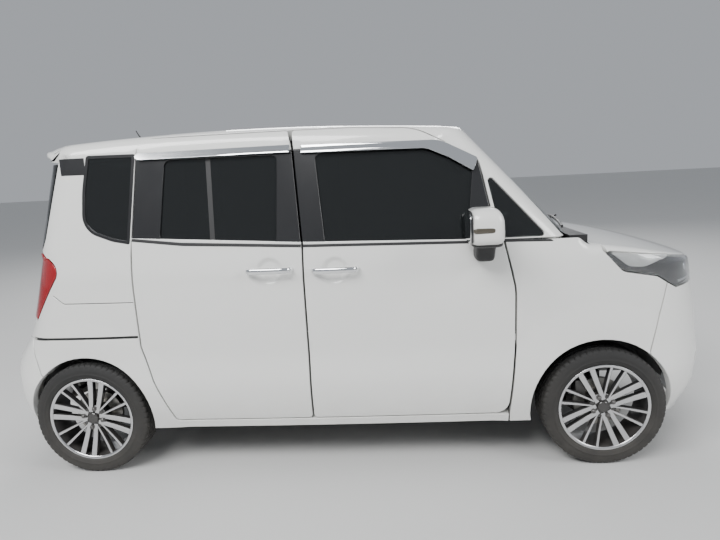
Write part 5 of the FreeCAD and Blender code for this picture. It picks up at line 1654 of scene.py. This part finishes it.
WEDGE = side_rows(((1.205, 1.033, 0.004), (1.29, 0.962, 0.05), (1.36, 0.958, 0.03),
                   (1.47, 0.995, 0.03), (1.5, 1.006, 0.004), (1.435, 1.012, 0.03)))
inlay("headlamp_wedge", nose_skin, WEDGE, PAINT, slot="paint", depth=0.01, roll=0.003, sink=0.0065)
projector = flipped(turned([[[0.0, -0.02], [0.014, -0.0175], [0.024, -0.011], [0.0285, 0.0]],
                            [[0.029, -0.003], [0.034, -0.008], [0.037, -0.006], [0.038, 0.004],
                             [0.038, 0.025], [0.0, 0.025]]], 48))
small_bowl = flipped(turned([[[0.0, 0.012], [0.01, 0.0105], [0.018, 0.006], [0.023, -0.004]],
                             [[0.023, -0.004], [0.025, -0.005], [0.026, 0.0], [0.026, 0.016],
                              [0.0, 0.016]]], 40))
for label, piece, target, depth in (("outer", projector, (-0.62, 0.93), 0.027),
                                    ("inner", small_bowl, (-0.535, 0.915), 0.018)):
    piece = aimed(piece, *skin_frame(nose_skin, "front", target, depth))
    both("headlamp_" + label, piece, LAMP_INSIDE, FIXED)
LIGHT_STRIP = rows_in("front", ((-0.69, 0.868, 0.003), (-0.56, 0.876, 0.04), (-0.46, 0.908, 0.003),
                                (-0.458, 0.916, 0.003), (-0.56, 0.886, 0.04), (-0.69, 0.878, 0.003)))
inlay("headlamp_strip", nose_skin, LIGHT_STRIP, CHROME, 0.006, depth=0.006, roll=0.0015, sink=0.009)

# %% [markdown]
# Fog lamps sit in their recesses, and four dark bars and one bright line cross the nose.

# %% Fog lamps and bars of the grille
def crossbar(name, half, low, high, radius, material, **sizes):
    """A bar across the nose, from the right half of an upright rectangle."""
    outline = span(nose_wall, slot_rows("front", half, low, high, radius), 1)
    dress(name, panel(nose_wall, outline, **sizes), material)


pair("fog_recess", panel(nose_wall, fog_right, depth=0.004, roll=0.001, sink=0.034), MESH)
fog_lamp = flipped(turned([[[0.0, -0.012], [0.02, -0.0105], [0.034, -0.005], [0.038, 0.0]],
                           [[0.038, -0.003], [0.042, -0.004], [0.044, 0.0], [0.044, 0.016],
                            [0.0, 0.016]]], 48))
fog_lamp = aimed(fog_lamp, *skin_frame(nose_wall, "front", (-0.575, 0.425), 0.02))
both("fog_lamp", fog_lamp, LAMP_INSIDE, FIXED)
for number in range(4):
    z = 0.352 + 0.044 * number
    crossbar("intake_bar_%d" % number, 0.428 + 0.009 * number, z, z + 0.012, 0.003, TRIM, depth=0.02,
             roll=0.003, sink=0.012)
crossbar("grille_line", 0.384, 0.8585, 0.864, 0.002, CHROME, depth=0.008, roll=0.0015, sink=0.008)

# %% [markdown]
# Each rear lamp has a thin red ring inside, and the bumper has reflectors.

# %% Rear lamps
LAMP_LINE = (side_rows(((-1.508, 1.096, 0.01), (-1.428, 1.048, 0.03), (-1.564, 0.85, 0.02)))
             + rows_in("rear", ((-0.64, 0.86, 0.01), (-0.622, 1.09, 0.01))))
lamp_ring = drawn(tail_wall, LAMP_LINE, 0.008)
ring_arrays = panel(tail_wall, lamp_ring, [grown(lamp_ring, -0.01)], depth=0.004, roll=0.0015, sink=0.012)
pair("tail_lamp_ring", ring_arrays, RED)
REFLECTOR = rows_in("rear", ((-0.64, 0.372, 0.006), (-0.48, 0.372, 0.006), (-0.48, 0.396, 0.006),
                             (-0.64, 0.396, 0.006)))
inlay("rear_reflector", tail_wall, REFLECTOR, RED, 0.006, "red_lens", depth=0.006, roll=0.0015, sink=-0.0015)

# %% [markdown]
# ## Screen wipers, plates and the aerial
# The wipers lie along the foot of the screen, on its black band. Plates are left blank.

# %% Screen wipers
def on_screen(y, z, off):
    """A point above the windscreen."""
    return [float(screen_x(np.float64(y), z)) + off, y, z + 0.3 * off]


for label, y0, y1, pivot in (("near", -0.64, -0.06, -0.26), ("far", 0.02, 0.56, 0.33)):
    blade = [on_screen(y, 1.142 + 0.02 * math.sin(math.pi * (y - y0) / (y1 - y0)), 0.013)
             for y in np.linspace(y0, y1, 15)]
    shape("wiper_blade_" + label, tube(blade, 0.0055, 10, 1.5), TRIM, crease=60)
    x, y, z = blade[6]
    arm = [[1.128, pivot + 0.22, 1.118], [1.118, pivot + 0.18, 1.132], [1.098, pivot + 0.1, 1.15],
           [x + 0.008, y, z + 0.012]]
    shape("wiper_arm_" + label, tube(arm, [0.011, 0.008, 0.006, 0.005], 12), TRIM, crease=60)

# %% [markdown]
# Plates, the plate lamp and the high stop lamp are slabs on the car's middle line.

# %% Plates, aerial and rear wiper
def slab(centre, half, soft=0.004):
    """A thin plate with rounded corners whose face looks along X."""
    thick, wide, high = half
    corners = rounded([[-wide, -high], [wide, -high], [wide, high], [-wide, high]], [high * 0.14] * 4, 0.004)
    rings = []
    for share, shrink in ((-1, soft * 0.2), (-0.4, 0.0), (0.4, 0.0), (1, soft * 0.2)):
        edge = corners * (1 - shrink / np.array([wide, high]))
        rings.append(np.column_stack([np.full(len(edge), share * thick), edge]) + np.asarray(centre))
    points, tris = loft(rings)
    return points, tris[:, ::-1]


def middle_slab(name, x, z, half, material, body="hatch", slot=None):
    """A slab on the car's middle line."""
    shape(name, slab((x, 0.0, z), half), material, body, (), slot, 30)


def tail_middle(z):
    """The point of the tail on the car's middle line at a height."""
    return tail_wall(middle_u(np.array([z]), -1, z > BELT), np.array([z]))[0]


middle_slab("front_plate", 1.8015, 0.43, (0.0025, 0.26, 0.055), PLATE, "chassis")
tail_x = float(tail_middle(0.862)[0])
middle_slab("rear_plate", tail_x + 0.02, 0.862, (0.0025, 0.1675, 0.06), PLATE)
middle_slab("plate_lamp", tail_x + 0.018, 0.924, (0.012, 0.05, 0.005), TRIM)
AERIAL_X, AERIAL_Y, AERIAL_TIP = -1.19, -0.12, 1.743
aerial_z = float(roof_top(AERIAL_X, AERIAL_Y))
shape("aerial_foot", rounded_box((AERIAL_X, AERIAL_Y, aerial_z + 0.004), (0.034, 0.02, 0.012), 2.6), TRIM,
      crease=60)
rod = [[AERIAL_X, AERIAL_Y, aerial_z + 0.01], [AERIAL_X - 0.02, AERIAL_Y, aerial_z + 0.035],
       [AERIAL_X - 0.034, AERIAL_Y, AERIAL_TIP]]
shape("aerial", tube(rod, [0.005, 0.0036, 0.003], 10, 1.0, (0, 1, 0)), TRIM, crease=60)
glass_x = float(tail_middle(1.52)[0])
middle_slab("high_stop_lamp", glass_x - 0.014, 1.562, (0.01, 0.13, 0.008), RED, slot="red_lens")
cap = flipped(turned([[[0.0, -0.02], [0.013, -0.018], [0.017, -0.01], [0.018, 0.002]]], 24))
shape("rear_wiper_hub", aimed(cap, tail_middle(1.185), (-1.0, 0.0, 0.2)), TRIM, "hatch", crease=60)
WIPER_LINE = ((0.0, 1.19), (-0.06, 1.203), (-0.15, 1.208), (-0.24, 1.208), (-0.33, 1.204))
blade = [[float(tail_wall(middle_u(np.array([z]), -1, True) - y, np.array([z]))[0, 0]) - 0.012, y, z]
         for y, z in WIPER_LINE]
shape("rear_wiper", tube(blade, [0.009, 0.008, 0.007, 0.006, 0.005], 10, 1.0), TRIM, "hatch", crease=60)

# %% [markdown]
# ## Inside and underneath
# The solids of the cabin and the running gear show through the screen, in the wheel arches and
# when a door stands open. They take their finishes here. Trim cards close the doors inside.

# %% Finishes of the solids inside
FINISHES = {"cowl_cover": TRIM, "centre_pillar": CABIN, "floor_pan": UNDER, "front_suspension": UNDER,
            "rear_suspension": UNDER, "engine_block": ENGINE, "exhaust": STEEL, "fuel_tank": UNDER,
            "seats_front": CLOTH, "seat_rear": CLOTH, "dashboard": CABIN, "steering_wheel": TRIM,
            "knuckle_right": CAST, "knuckle_left": CAST}
for node, material in FINISHES.items():
    mesh = frame["nodes"][node].data
    mesh.materials.clear()
    mesh.materials.append(material)
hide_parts("fixed_side_glass")
print("solids with a finish", len(FINISHES))

# %% [markdown]
# The doors get cards and arm rests, the roof a lining and each front strut a coil.

# %% Door cards, roof lining and coils
FRONT_CARD = ((-0.15, 0.33, 0.03), (0.7, 0.33, 0.06), (0.725, 0.62, 0.4), (0.72, 0.88, 0.3),
              (0.665, 1.085, 0.03), (-0.15, 1.1, 0.03))
REAR_CARD = ((-0.25, 0.33, 0.03), (-0.25, 1.1, 0.03), (-0.97, 1.12, 0.03), (-0.975, 0.68, 0.15),
             (-0.93, 0.5, 0.3), (-0.85, 0.33, 0.03))
for end, table, bodies in (("front", FRONT_CARD, FRONT_BODIES), ("rear", REAR_CARD, REAR_BODIES)):
    pair(end + "_door_card", side_panel(table, depth=0.022, roll=0.006, sink=0.0345), CABIN, bodies)
for end, bodies, x in (("front", FRONT_BODIES, 0.18), ("rear", REAR_BODIES, -0.62)):
    both(end + "_arm_rest", rounded_box((x, -0.706, 0.8), (0.17, 0.026, 0.03), 3.2), CABIN, bodies, 60)


LINING_DROP = 0.034


def lining_shell(x, y):
    """The inside of the roof."""
    return roof_shell(x, y) - [0, 0, LINING_DROP]


lining = filled(both_sides([[-1.3, -1e-4], [-1.3, -0.52], [0.3, -0.52], [0.38, -1e-4]]), 0.03)
dress("headlining", panel(lining_shell, lining, depth=0.006, roll=0.002, grid=0.06), HEADLINING)
SPRING_RADIUS, SPRING_WIRE, SPRING_TURNS = 0.055, 0.0062, 5.5
SPRING_Y, SPRING_FOOT, SPRING_LENGTH = -0.551, 0.606, 0.18
turns = np.linspace(0, 2 * math.pi * SPRING_TURNS, 150)
coil = np.stack([AXLE_FRONT + SPRING_RADIUS * np.cos(turns), SPRING_Y + SPRING_RADIUS * np.sin(turns),
                 SPRING_FOOT + SPRING_LENGTH * turns / turns[-1]], -1)
both("front_spring", tube(coil, SPRING_WIRE, 8), CAST, ("upright_right", "upright_left"), 80)

# %% [markdown]
# ## The inner skins
# Seen through the screen or past an open door, the inside of a panel is trim and not paint. Each
# panel is one closed mesh, so its inner faces are told apart by the way they look.

# %% Inner faces
def lined(name, material, towards, least=0.35):
    """Faces that look in a given direction get the lining's material."""
    obj = DRESSED[name]
    normals = np.empty(len(obj.data.polygons) * 3, np.float32)
    obj.data.polygons.foreach_get("normal", normals)
    chosen = (normals.reshape(-1, 3) * np.array(towards, float)).sum(1) > least
    obj.data.materials.append(material)
    obj.data.polygons.foreach_set("material_index", chosen.astype(np.int32) * (len(obj.data.materials) - 1))
    return int(chosen.sum())


LINED = ("body_side", "front_door_panel", "front_door_header", "rear_door_panel", "rear_door_header")
counts = [lined("roof", HEADLINING, (0, 0, -1)), lined("tailgate", CABIN, (1, 0, 0))]
for side_name, to_middle in (("right", (0, 1, 0)), ("left", (0, -1, 0))):
    counts += [lined(part + "_" + side_name, CABIN, to_middle) for part in LINED]
    counts.append(lined("fender_" + side_name, UNDER, to_middle))
print("inner faces", counts)

# %% [markdown]
# ## Stage
# A pale floor and three large soft lights show the shape by gradients instead of hard shadows.
# The camera stands where the photographer stood, so that both pictures can be laid side by side.

# %% Camera
CAMERA_PLACE, CAMERA_TURNS = (0.2351, -3.3003, 1.4457), (-3.85, -10.03, -2.93)
CAMERA_LENS, CAMERA_SENSOR = 27.63, 36.0


def look_camera():
    """The camera of the photograph: place, three turning angles and lens."""
    yaw, pitch, roll = (math.radians(a) for a in CAMERA_TURNS)
    forward = Vector((math.sin(yaw) * math.cos(pitch), math.cos(yaw) * math.cos(pitch), math.sin(pitch)))
    level = Vector((math.cos(yaw), -math.sin(yaw), 0.0))
    up = level.cross(forward)
    right = level * math.cos(roll) + up * math.sin(roll)
    above = up * math.cos(roll) - level * math.sin(roll)
    data = bpy.data.cameras.new("camera")
    data.lens, data.sensor_width = CAMERA_LENS, CAMERA_SENSOR
    data.clip_start, data.clip_end = 0.05, 100.0
    camera = linked("camera", data)
    turn = Matrix((right, above, -forward)).transposed().to_4x4()
    camera.matrix_world = Matrix.Translation(CAMERA_PLACE) @ turn
    bpy.context.scene.camera = camera


look_camera()
print("camera at", CAMERA_PLACE)

# %% [markdown]
# The key light stands on the photographer's side, a weaker one ahead and one behind the car.

# %% Floor and lights
SKY_COLOUR, SKY_POWER, FLOOR_HALF = (0.8, 0.84, 0.9, 1), 0.5, 60


def area_light(name, place, target, size, power, colour=(1, 1, 1)):
    """A soft box that faces a target."""
    data = bpy.data.lights.new(name, "AREA")
    data.shape, data.size, data.size_y, data.energy, data.color = "RECTANGLE", size[0], size[1], power, colour
    lamp = linked(name, data)
    lamp.location = place
    lamp.rotation_mode = "QUATERNION"
    lamp.rotation_quaternion = (Vector(target) - Vector(place)).to_track_quat("-Z", "Y")


floor_mesh = bpy.data.meshes.new("floor")
floor_corners = [(x * FLOOR_HALF, y * FLOOR_HALF, 0) for x, y in ((-1, -1), (1, -1), (1, 1), (-1, 1))]
floor_mesh.from_pydata(floor_corners, [], [(0, 1, 2, 3)])
floor = linked("floor", floor_mesh)
FLOOR = finish_of("pale floor", (0.62, 0.62, 0.61), 0.7, ripple=(60.0, 0.0005))
floor_mesh.materials.append(FLOOR)
world = bpy.data.worlds.new("sky")
world.use_nodes = True
world.node_tree.nodes["Background"].inputs[0].default_value = SKY_COLOUR
world.node_tree.nodes["Background"].inputs[1].default_value = SKY_POWER
bpy.context.scene.world = world
area_light("key", (-3.0, -5.5, 6.5), (0, 0, 0.7), (6.0, 3.0), 760)
area_light("front", (6.5, -3.5, 4.0), (0.5, 0, 0.6), (3.0, 3.0), 260)
area_light("back", (0.0, 7.0, 5.0), (0, 0, 0.8), (6.0, 3.0), 420)
print("lights", len(bpy.data.lights))
